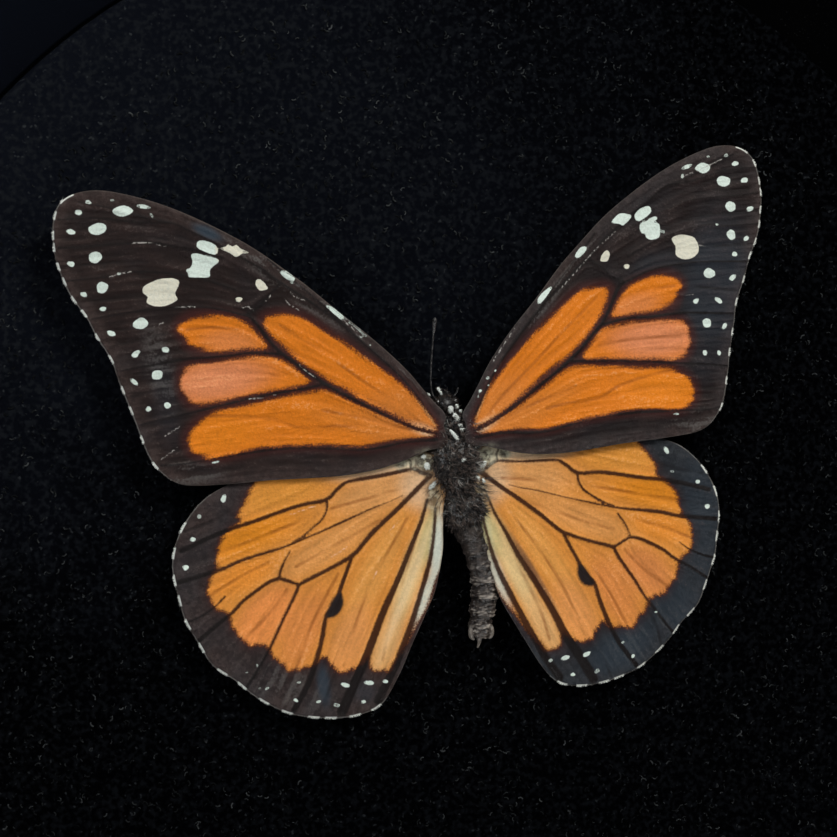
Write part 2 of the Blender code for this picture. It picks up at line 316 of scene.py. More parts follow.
def make_velvet():
    material, tree, shader = new_material("black_velvet")
    vector = in_millimetres(tree)
    pile = noise(tree, vector, 0.60, detail=1.0)
    tufts = noise(tree, vector, 1.5, detail=2.0, roughness=0.6)
    nap_sheen = painted_nap_sheen(tree, vector)
    tips = ramp(tree, scaled(tree, tufts, 0.6, pile), 0.70, 1.05)
    specks = mask_of(tree, settled_dust, Speck_Size=0.55, Drift_Size=3.0, Amount=0.40)
    # Painted sheen: the black, the tufts' tips and the dust are painted lighter where the pile catches the
    # light.
    colour = layered(tree, blend(tree, nap_sheen, PILE_BLACK, PILE_LIT),
                     (times(tree, tips, scaled(tree, nap_sheen, 0.7, 0.3)), PILE_TIPS),
                     (times(tree, specks, scaled(tree, nap_sheen, 0.5, 0.5)), PILE_DUST))
    feed(tree, shader, Base_Color=colour, Roughness=0.95, Specular_IOR_Level=0.0)
    relief(tree, shader, plus(tree, pile, tufts), depth=0.12, strength=0.7)
    return material


def set_input(modifier, label, value):
    """Sets a Geometry Nodes modifier's input by its socket's identifier."""
    for item in modifier.node_group.interface.items_tree:
        if item.item_type == "SOCKET" and item.in_out == "INPUT" and item.name == label:
            modifier[item.identifier] = value
            return
    raise ValueError(label)


def grow(name, host, tree, inputs):
    """Runs a Geometry Nodes tree on a host and keeps the result as a plain mesh of its own."""
    bearer = bpy.data.objects.new(name, host)
    bpy.context.scene.collection.objects.link(bearer)
    modifier = bearer.modifiers.new("growth", "NODES")
    modifier.node_group = tree
    for label, value in inputs.items():
        set_input(modifier, label, value)
    bpy.context.view_layer.update()
    evaluated = bearer.evaluated_get(bpy.context.evaluated_depsgraph_get())
    grown = bpy.data.meshes.new_from_object(evaluated)
    bearer.modifiers.clear()
    bearer.data = grown
    grown.name = name
    return bearer


def new_growth_tree(name, sockets):
    """A Geometry Nodes tree with a Geometry socket each way and named inputs."""
    tree = bpy.data.node_groups.new(name, "GeometryNodeTree")
    tree.interface.new_socket("Geometry", in_out="INPUT", socket_type="NodeSocketGeometry")
    for label, kind, default in sockets:
        made = tree.interface.new_socket(label, in_out="INPUT", socket_type=f"NodeSocket{kind}")
        if default is not None:
            made.default_value = default
    tree.interface.new_socket("Geometry", in_out="OUTPUT", socket_type="NodeSocketGeometry")
    return tree, node(tree, "NodeGroupInput").outputs


def scattered(tree, entry):
    """Points all over the host, as many for each area as its density says."""
    inputs = {"Mesh": entry["Geometry"], "Density": entry["Density"], "Seed": entry["Seed"]}
    return node(tree, "GeometryNodeDistributePointsOnFaces", inputs).outputs


def chance(tree, low, high, seed):
    """A number between two others, drawn anew for each point."""
    made = node(tree, "FunctionNodeRandomValue", {2: low, 3: high, "Seed": seed}, data_type="FLOAT")
    return made.outputs[1]


def chance_vector(tree, low, high, seed):
    made = node(tree, "FunctionNodeRandomValue", {0: low, 1: high, "Seed": seed}, data_type="FLOAT_VECTOR")
    return made.outputs[0]


def slimmed(tree, shape, thickness, length):
    """Narrows a shape of unit radius, so that it has that thickness once it is grown to its length."""
    slim = maths(tree, "DIVIDE", thickness, length)
    size = node(tree, "ShaderNodeCombineXYZ", {0: slim, 1: slim, 2: 1.0}).outputs[0]
    return node(tree, "GeometryNodeTransform", {"Geometry": shape, "Scale": size}).outputs[0]


def planted(tree, points, shape, way, size):
    """A copy of the shape on each point."""
    inputs = {"Points": points, "Instance": shape, "Rotation": way, "Scale": size}
    return node(tree, "GeometryNodeInstanceOnPoints", inputs).outputs[0]


def finish_growth(tree, geometry, material):
    """Ends a tree in Realize Instances and Set Material."""
    real = node(tree, "GeometryNodeRealizeInstances", {0: geometry}).outputs[0]
    painted = node(tree, "GeometryNodeSetMaterial", {"Geometry": real, "Material": material}).outputs[0]
    smoothed = node(tree, "GeometryNodeSetShadeSmooth", {0: painted}).outputs[0]
    tree.links.new(smoothed, node(tree, "NodeGroupOutput").inputs[0])


def make_fibre_tree():
    """Scatters short curved fibres over a surface."""
    tree, entry = new_growth_tree("lint_fibres", (
        ("Density", "Float", 1.0), ("Fibre Length", "Float", MM), ("Fibre Thickness", "Float", 0.01 * MM),
        ("Seed", "Int", 1), ("Material", "Material", None),
    ))
    bow = node(tree, "GeometryNodeCurveQuadraticBezier", {
        "Resolution": 5, "Start": (-0.5, 0.0, 0.0), "Middle": (0.1, 0.50, 0.12), "End": (0.5, 0.0, 0.02),
    }).outputs[0]
    ring = node(tree, "GeometryNodeCurvePrimitiveCircle", {"Resolution": 3, "Radius": 1.0}, mode="RADIUS")
    ring = ring.outputs[0]
    section = slimmed(tree, ring, entry["Fibre Thickness"], entry["Fibre Length"])
    fibre = node(tree, "GeometryNodeCurveToMesh", {"Curve": bow, "Profile Curve": section, "Fill Caps": True})
    way = chance_vector(tree, (-0.15, -0.15, 0.0), (0.15, 0.15, math.tau), entry["Seed"])
    length = times(tree, chance(tree, 0.25, 1.4, entry["Seed"]), entry["Fibre Length"])
    lying = planted(tree, scattered(tree, entry)["Points"], fibre.outputs[0], way, length)
    finish_growth(tree, lying, entry["Material"])
    return tree


def make_lint():
    material, tree, shader = new_material("pale_lint")
    vector = in_millimetres(tree)
    # Painted sheen: the lint is painted lighter where the pile catches the light.
    lit = times(tree, ramp(tree, noise(tree, vector, 1.6, detail=1.0), 0.45, 0.85),
                scaled(tree, painted_nap_sheen(tree, vector), 0.35, 0.65))
    feed(tree, shader, Base_Color=blend(tree, lit, *LINT_SHADES), Roughness=0.9, Specular_IOR_Level=0.1)
    return material


underside = PAD_BOTTOM + PAD_UNDERSIDE_ROUNDING
pad_profile = [
    (0.0, PAD_TOP),
    *((radius, PAD_TOP) for radius in np.arange(PAD_RING_SPACING, PAD_RADIUS - 4.0, PAD_RING_SPACING)),
    *arc((PAD_RADIUS - PAD_ROUNDING, PAD_TOP - PAD_ROUNDING), PAD_ROUNDING, 90, 0, 7),
    *arc((PAD_RADIUS - PAD_UNDERSIDE_ROUNDING, underside), PAD_UNDERSIDE_ROUNDING, 0, -90, 4),
    (0.0, PAD_BOTTOM),
]
velvet_cover = turn("velvet_cover", pad_profile, make_velvet())
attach(velvet_cover, "root")
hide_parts("velvet_pad")

lint_field = bpy.data.meshes.new("lint_field")
lint_angles = np.arange(LINT_CORNERS) * math.tau / LINT_CORNERS
lint_height = (PAD_TOP + LINT_CLEARANCE) * MM
lint_corners = [(LINT_REACH * MM * math.cos(angle), LINT_REACH * MM * math.sin(angle), lint_height)
                for angle in lint_angles]
lint_field.from_pydata(lint_corners, [], [tuple(range(LINT_CORNERS))])
lint = grow("lint", lint_field, make_fibre_tree(), {
    "Density": LINT_PER_SQUARE_MM / MM**2, "Fibre Length": LINT_LENGTH * MM,
    "Fibre Thickness": LINT_THICKNESS * MM,
    "Seed": 7, "Material": make_lint(),
})
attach(lint, "root")

# ---------------------------------------------------------------------------------------------------
# The wings: four sheets of dried membrane on raised veins, covered in dust-fine scales that give the
# orange, black and white. They were spread flat, so they droop a little from the roots. Each wing is
# drawn once, flat, in millimetres from its root: outwards, then towards the head.
# ---------------------------------------------------------------------------------------------------
SPECIMEN = Matrix.Translation((-2.3 * MM, 10.2 * MM, PAD_TOP * MM))  # where the butterfly lies on the pad
SPECIMEN = SPECIMEN @ Matrix.Rotation(math.radians(3.2), 4, "Z")
PANEL_SPACING = 0.27  # between the points of the sheet
LINE_CLEARANCE = 0.45  # from a drawn line to the next free point, as a share of the spacing
RIM_CLEARANCE = 0.12
MEMBRANE = 0.14  # thickness
VEIN_RISE = 0.12
VEIN_SPREAD = 0.17
CELL_SAG = 0.07
CREASE_DEPTH = 0.07
PANEL_WAVE = 0.10
COMB_RIPPLE = 0.05
POCKET_RISE = 0.16
ROOT_STIFFNESS = 6.0  # the waves fade out this near the root
SLIDE_FADE_IN, SLIDE_END, SLIDE_FADE_OUT = 6.0, 36.0, 7.0
COMB_CELL, COMB_STROKES, COMB_STEP, COMB_CONTRAST = 0.25, 14, 0.2, 0.22
DOT_CORNERS, DOT_UNEVENNESS = 9, 0.14
FAR_OFF = 9.0  # stands for a marking that isn't near

# Rows of scales, their grain, clouds over a cell and blotches over the wing: size, detail, roughness.
SCALE_TEXTURES = ((0.13, 2.0, 0.7), (0.30, 2.0, 0.65), (2.4, 3.0, 0.6), (5.0, 2.0, 0.5))
# Pairs of blacks are bluish, then brownish.
GROUND_BLACK = ((0.0085, 0.0095, 0.0130), (0.0125, 0.0068, 0.0062))
COMBED_BLACK = ((0.022, 0.024, 0.029), (0.032, 0.0185, 0.0165))
WORN_BLACK = ((0.031, 0.034, 0.040), (0.052, 0.034, 0.031))
BLACK_FLECK = (0.10, 0.080, 0.074)
BLOOM_GREY = (0.30, 0.30, 0.29)
PAINTED_BLUE_SHEEN = (0.030, 0.045, 0.064)
CREASE_SHADE_BLACK = (0.006, 0.004, 0.004)
CREASE_SHADE_BROWN = (0.24, 0.060, 0.008)
ORANGE_FLECK = (0.80, 0.46, 0.22)
PATCH_HALO = (0.048, 0.0120, 0.0105)
PATCH_EDGE = (0.090, 0.021, 0.008)
VEIN_BLACK = (0.0085, 0.0060, 0.0060)
FORE_VEIN_BROWN = (0.040, 0.0085, 0.0055)
HIND_VEIN_BROWN = (0.034, 0.0085, 0.0035)
POCKET_BLACK = (0.016, 0.010, 0.010)
BARE_MEMBRANE = ((0.060, 0.050, 0.040), (0.50, 0.48, 0.36))
SPOT_WHITE = ((0.70, 0.79, 0.73), (0.74, 0.70, 0.58))  # clean, and creamy
SPOT_GRIT = (0.48, 0.50, 0.46)
PAINTED_RIM_HIGHLIGHT = (0.110, 0.098, 0.090)
FRINGE_GREY = (0.24, 0.23, 0.22)
DASH_WHITE = (0.74, 0.74, 0.70)
RUBBED_AND_GLINT = ((0.40, 0.37, 0.35), (0.85, 0.50, 0.32))  # worn scales and painted glints: over black, and over orange
SHADER_MARKS = ("patch", "white", "vein", "crease", "dash", "margin", "bloom", "combed", "pocket", "blue",
                "bare", "fringe", "paler", "warmth", "scuff", "warm")

# How a wing is drawn. What ends in left or right is on that wing alone, and comes after what both have.
#   outline, patches, white, pocket: closed loops, of the wing, the orange cells, white spots and scent pocket
#   veins: width at the root's end, width at the rim, line; vein_share widens them all
#   creases: the folds between the veins; slide: how far out the inner lines move, and from where
#   dots: centre, width, height, turn in degrees
#   dashes: middles of the white dashes on the rim; fringed: where the fringe starts and ends
#   blue, bare, bloom: where a bluish sheen is painted, where it is rubbed bare or dusty: centre, half sizes,
#       turn, strength
#   creases: the folds between the veins, with painted shade along them; slide: how far out the inner lines
#       move, and from where
#   warmth: how brown its black scales look, against blue; creamy: centre and radius of where white is creamy
#   scuffs: lines where scales have rubbed off, and painted glints along the veins, both painted paler
FORE = {
    "vein_share": 1.2,
    "slide_left": (-0.45, 8.0),
    "slide_right": (0.2, 3.0),
    "dash_half": 0.45,
    "paler_band": 1.8,
    "outline": (
        (-0.7, 1.8), (-1.0, 2.5), (-0.8, 3.3), (0.1, 4.4), (1.2, 5.9), (2.7, 8.0), (4.6, 10.2), (6.8, 12.45),
        (9.6, 15.05), (12.6, 18.0), (14.6, 19.8), (19.7, 23.9), (26.6, 27.95), (32.4, 30.2), (36.0, 30.7),
        (38.6, 29.8), (39.7, 27.5), (39.8, 24.0), (38.7, 20.0), (37.2, 17.4), (36.2, 15.0), (34.9, 12.4),
        (34.3, 10.0), (33.1, 6.0), (31.9, 1.8), (30.6, -0.3), (28.4, -1.8), (24.0, -2.2), (18.3, -2.3),
        (12.0, -2.6), (7.8, -2.4), (5.2, -1.95), (2.9, -1.3), (1.2, -0.8), (-0.6, -0.6), (-1.0, 0.3),
    ),
    "patches": (
        ((0.2, 1.6), (1.3, 3.7), (3.2, 6.3), (5.8, 8.7), (8.6, 11.0), (11.5, 13.1), (14.0, 14.9),
         (16.0, 15.6), (18.2, 15.6), (18.6, 14.9), (17.7, 13.2), (16.3, 11.6), (14.4, 9.8), (12.3, 8.1),
         (9.6, 6.5), (6.7, 4.6), (3.6, 2.7), (1.6, 1.8)),
        ((18.6, 12.1), (19.2, 13.4), (20.4, 14.9), (22.0, 15.8), (24.3, 16.35), (26.6, 16.2), (27.9, 15.2),
         (27.3, 14.2), (26.6, 13.1), (24.4, 12.35), (21.2, 12.2)),
        ((14.3, 7.9), (15.5, 9.3), (17.1, 10.7), (19.2, 11.2), (22.0, 11.35), (25.0, 11.2), (27.2, 10.9),
         (28.0, 10.0), (28.1, 8.6), (27.2, 7.0), (25.4, 6.7), (20.9, 7.2), (17.2, 7.5)),
        ((0.6, 0.9), (3.0, 1.9), (6.1, 3.5), (9.0, 5.1), (11.2, 6.3), (13.1, 7.0), (17.0, 6.7), (21.5, 6.1),
         (24.6, 5.8), (26.5, 4.9), (27.8, 3.6), (27.9, 2.2), (26.9, 1.25), (25.0, 0.85), (20.2, 1.35),
         (15.7, 1.2), (12.0, 0.85), (8.6, 0.35), (5.2, 0.6), (2.1, 0.55)),
    ),
    "veins": (
        (0.34, 0.3, ((0.3, 1.0), (2.1, 1.6), (4.5, 2.8), (6.5, 4.0), (8.6, 5.3), (10.7, 6.5), (12.4, 7.6),
         (14.0, 8.8), (15.5, 10.1), (17.0, 11.4), (18.0, 12.6), (18.8, 13.9), (19.5, 15.0), (20.3, 16.0))),
        (0.22, 0.16, ((12.6, 7.6), (14.8, 7.4), (18.5, 7.1), (22.8, 6.6), (26.3, 6.1), (29.5, 5.7),
         (32.6, 5.2))),
        (0.22, 0.16, ((17.0, 11.3), (18.7, 11.6), (20.8, 11.8), (23.4, 11.7), (27.4, 11.8), (31.0, 11.5),
         (34.2, 11.2))),
        (0.18, 0.14, ((19.9, 15.6), (20.9, 16.0), (23.2, 16.8), (25.7, 17.3), (29.6, 17.5), (33.5, 17.3),
         (36.9, 17.0))),
        (0.16, 0.12, ((21.4, 18.8), (24.5, 20.1), (27.5, 21.0), (31.9, 21.7), (34.3, 21.4), (38.8, 21.3))),
        (0.16, 0.12, ((22.4, 22.3), (25.3, 23.4), (27.9, 24.1), (29.8, 24.6), (33.0, 24.8), (36.5, 24.8),
         (39.4, 24.9))),
        (0.24, 0.12, ((4.4, 8.5), (7.3, 11.5), (10.1, 14.2), (12.9, 16.4), (16.8, 19.4), (18.4, 20.8),
         (20.5, 22.2), (23.0, 23.9), (25.2, 25.2), (27.5, 26.5), (30.5, 27.4), (33.5, 28.6), (36.8, 29.6))),
        (0.16, 0.12, ((27.5, 26.5), (31.0, 26.9), (35.0, 27.7), (39.2, 27.9))),
        (0.2, 0.12, ((0.5, 2.8), (3.0, 6.7), (5.4, 9.6), (8.2, 12.5), (11.2, 15.6), (15.0, 19.2),
         (17.6, 21.8))),
        (0.28, 0.14, ((0.3, 0.3), (3.8, 0.45), (6.5, 0.1), (9.0, 0.1), (12.0, 0.5), (16.0, 0.95),
         (20.0, 1.05), (25.0, 0.75), (29.0, 0.5), (31.0, 0.6))),
        (0.16, 0.14, ((16.4, 19.0), (18.0, 17.7), (19.2, 16.6), (20.3, 16.0))),
    ),
    "creases": (
        ((28.2, 14.9), (31.5, 14.4), (35.0, 13.8)), ((28.6, 8.8), (31.2, 8.6), (33.4, 8.3)),
        ((27.6, 3.3), (30.0, 2.9), (31.9, 2.6)), ((31.0, 19.3), (34.5, 19.1), (37.9, 19.1)),
        ((31.0, 22.9), (35.0, 22.9), (39.3, 22.9)),
        ((9.1, 2.6), (11.5, 2.9), (15.8, 3.2), (18.5, 4.3), (22.4, 5.1), (25.8, 5.4)),
        ((2.1, 2.6), (4.0, 4.5), (7.7, 7.4), (9.8, 9.1), (12.4, 11.2), (14.5, 12.7), (17.0, 14.6)),
        ((3.0, 1.7), (8.0, 3.4), (13.0, 4.8)), ((20.0, 14.2), (24.0, 14.9), (27.0, 15.0)),
        ((16.5, 9.0), (21.0, 9.4), (27.0, 9.2)),
    ),
    "white": (
        ((22.9, 23.4), (23.6, 24.1), (24.8, 24.4), (25.1, 24.0), (24.9, 23.5), (23.3, 22.75)),
        ((17.85, 18.65), (18.3, 19.4), (18.9, 19.7), (19.15, 19.2), (18.8, 18.5), (18.2, 18.45)),
        ((20.7, 17.75), (21.1, 17.95), (21.5, 17.8), (21.4, 17.5), (21.0, 17.4)),
        ((14.8, 19.35), (15.6, 20.3), (16.35, 20.3), (16.1, 19.75), (15.3, 19.2)),
        ((9.5, 14.4), (9.7, 15.1), (10.9, 16.0), (11.5, 16.1), (10.8, 15.3), (9.8, 14.4)),
        ((31.4, 28.2), (32.3, 28.85), (33.4, 28.5), (33.3, 27.95), (32.4, 27.65)),
        ((29.6, 28.35), (30.3, 28.75), (31.1, 28.75), (30.7, 28.4), (30.0, 28.25)),
        ((34.3, 26.9), (35.0, 27.2), (36.0, 26.8), (35.8, 26.15), (35.0, 25.95), (34.35, 26.3)),
        ((34.9, 23.6), (35.4, 24.15), (36.2, 23.9), (36.2, 23.2), (35.5, 22.95)),
        ((34.6, 20.4), (35.2, 20.9), (35.7, 20.6), (35.7, 19.9), (35.1, 19.7)),
        ((31.0, 16.3), (31.6, 16.7), (32.4, 16.3), (32.4, 15.7), (31.6, 15.5), (31.05, 15.8)),
        ((30.0, 10.6), (30.5, 10.9), (31.0, 10.7), (31.0, 10.0), (30.2, 9.95)),
    ),
    "white_left": (
        ((31.2, 19.4), (31.0, 20.0), (30.2, 20.4), (29.3, 20.65), (28.1, 20.65), (27.4, 20.3), (27.45, 19.8),
         (27.9, 19.0), (27.7, 18.3), (28.3, 17.95), (29.2, 17.7), (30.3, 17.85), (30.9, 18.3),
         (30.75, 18.8)),
        ((26.3, 20.6), (26.25, 21.2), (25.8, 21.9), (25.75, 22.5), (25.8, 22.95), (25.2, 23.05),
         (24.3, 22.7), (23.1, 22.3), (23.0, 21.9), (23.9, 21.2), (24.1, 20.4), (25.2, 20.45)),
        ((22.6, 23.35), (22.0, 23.5), (21.7, 23.75), (21.3, 23.45), (20.8, 23.6), (20.5, 23.2),
         (19.6, 22.65), (20.3, 22.6), (21.0, 22.3), (21.6, 22.75)),
    ),
    "white_right": (
        ((27.28, 20.4), (28.18, 20.75), (29.18, 20.7), (30.08, 20.45), (30.48, 20.0), (30.73, 19.2),
         (30.48, 18.5), (29.58, 18.0), (28.58, 17.95), (27.68, 18.5), (27.73, 19.5)),
        ((23.58, 22.45), (24.28, 22.65), (24.98, 23.0), (25.58, 23.1), (25.73, 22.8), (25.28, 22.5),
         (25.88, 22.2), (25.93, 21.6), (25.78, 20.9), (25.38, 20.6), (24.58, 20.5), (24.03, 20.8),
         (23.98, 21.3), (23.58, 21.35), (23.38, 21.9)),
        ((19.93, 22.8), (20.28, 23.3), (21.18, 23.8), (22.43, 23.45), (22.18, 23.0), (21.28, 22.4),
         (20.68, 22.65)),
    ),
    "dots": (
        (35.8, 29.5, 0.6, 0.4, 20), (36.9, 28.5, 0.9, 0.55, 12), (37.9, 26.5, 0.95, 0.55, 15),
        (38.2, 23.1, 0.85, 0.6, 15), (37.15, 19.7, 0.8, 0.5, 35), (35.35, 18.0, 0.65, 0.55, 0),
        (34.7, 15.3, 0.95, 0.55, 30), (32.5, 12.85, 1.0, 0.6, -35), (29.5, 13.0, 0.85, 0.6, 20),
        (32.9, 9.85, 0.95, 0.5, 45), (29.8, 7.0, 0.7, 0.65, 0), (31.75, 6.8, 0.55, 0.65, 0),
        (29.6, 27.5, 0.5, 0.3, 60), (33.4, 29.5, 0.4, 0.25, 0), (26.3, 21.3, 0.35, 0.35, 0),
        (25.2, 0.35, 0.8, 0.18, -5), (33.4, 21.6, 0.4, 0.25, 0),
    ),
    "dots_left": (
        (8.85, 14.0, 0.4, 0.2, 45), (8.3, 13.6, 0.5, 0.2, 48), (7.75, 13.1, 0.55, 0.24, 50),
        (7.2, 12.5, 0.45, 0.22, 40), (7.65, 12.4, 0.28, 0.18, 0), (6.75, 11.4, 0.18, 0.16, 0),
        (15.2, 19.0, 0.35, 0.22, 30),
    ),
    "dots_right": (
        (2.5, 6.7, 0.45, 0.35, 10), (1.4, 5.35, 0.5, 0.34, 15), (1.1, 4.7, 0.24, 0.2, 0),
        (2.5, 5.85, 0.24, 0.18, 0), (3.5, 7.4, 0.26, 0.16, 40),
    ),
    "dashes": (
        (37.7, 30.3), (38.4, 29.95), (39.5, 28.4), (39.8, 26.3), (39.7, 25.0), (39.6, 22.9), (39.0, 21.3),
        (38.2, 19.3), (37.3, 17.7), (36.2, 15.0), (34.9, 12.5), (34.0, 9.1), (33.3, 6.8), (32.4, 3.6),
        (31.3, 0.6),
    ),
    "fringed": ((38.3, 30.0), (29.6, -1.3)),
    "blue": ((29.5, 8.0, 1.4, 5.0, 0, 0.12),),
    "blue_left": ((23.4, 25.2, 1.7, 0.62, 30, 0.9),),
    "blue_right": ((32.5, 14.5, 4.5, 8.0, -12, 0.35), (25.5, 17.6, 4.0, 1.6, 10, 0.2)),
    "bare": ((1.2, -1.3, 1.5, 0.7, 10, 0.3),),
    "bloom": ((28.8, -0.6, 5.0, 1.4, 0, 0.14),),
    "bloom_left": (
        (29.8, 11.0, 1.4, 5.0, -8, 0.13), (8.4, 13.6, 2.2, 0.5, 45, 0.9), (15.0, 19.0, 9.0, 1.2, 42, 0.2),
        (3.6, 7.6, 3.6, 0.6, 50, 0.3),
    ),
    "bloom_right": ((12.0, 15.6, 9.0, 0.5, 45, 0.18), (3.0, 6.6, 2.6, 0.4, 54, 0.12)),
    "ground": (0.7, 0.185, 0.01),
    "tints": (
        (24.0, 9.2, 6.0, 2.4, -3, (0.7, 0.245, 0.115), 0.85),
        (22.0, 13.2, 3.2, 1.3, 10, (0.68, 0.215, 0.06), 0.8),
        (3.5, 2.5, 5.0, 4.0, 30, (0.6, 0.19, 0.035), 0.7), (25.0, 3.4, 6.0, 2.4, -5, (0.78, 0.22, 0.01), 0.6),
        (9.0, 3.2, 5.0, 1.4, 20, (0.64, 0.2, 0.03), 0.5),
        (17.0, 14.4, 2.5, 1.2, 45, (0.66, 0.18, 0.012), 0.4), (1.6, 1.5, 1.9, 0.7, 25, (0.74, 0.4, 0.2), 0.7),
        (1.3, 1.05, 0.8, 0.16, 15, (0.85, 0.62, 0.42), 0.6), (1.5, 4.2, 3.4, 0.2, 62, (0.8, 0.4, 0.16), 0.8),
    ),
    "warmth_left": 1.0,
    "warmth_right": 0.75,
    "creamy_left": ((29.0, 19.2, 2.4), (20.8, 23.0, 1.9), (18.5, 19.0, 1.2), (21.1, 17.6, 0.9)),
    "creamy_right": ((29.0, 19.2, 2.4), (18.7, 19.0, 1.2), (21.3, 17.6, 0.9)),
    "scuffs_left": (
        ((27.9, 24.05), (29.8, 24.6), (31.6, 24.75)), ((31.9, 21.7), (33.2, 21.6), (34.3, 21.35)),
        ((25.5, 17.3), (27.8, 17.6)), ((13.4, 16.9), (14.6, 17.5), (15.2, 18.2)),
        ((14.2, 15.9), (15.3, 16.7), (15.7, 17.3)), ((19.2, 16.4), (19.9, 16.9), (20.4, 16.7)),
        ((17.0, 18.0), (17.8, 17.2)), ((8.0, 12.9), (9.3, 14.2), (10.4, 15.3)),
        ((13.0, 8.4), (14.2, 9.4), (14.9, 10.2)), ((17.6, 7.0), (19.0, 6.85), (20.6, 6.8)),
        ((28.2, 4.6), (30.0, 3.7)), ((28.6, 2.4), (30.6, 1.2)), ((28.9, 16.0), (30.1, 15.5)),
    ),
    "scuffs_right": (
        ((29.6, 27.4), (32.5, 28.2), (35.2, 29.1)), ((3.2, 8.2), (4.8, 10.0), (6.6, 12.0)),
        ((12.6, 15.7), (15.0, 17.7), (17.5, 19.8), (20.4, 21.8)), ((30.4, 19.5), (31.8, 19.2)),
        ((27.8, 13.9), (29.6, 13.8)),
    ),
}
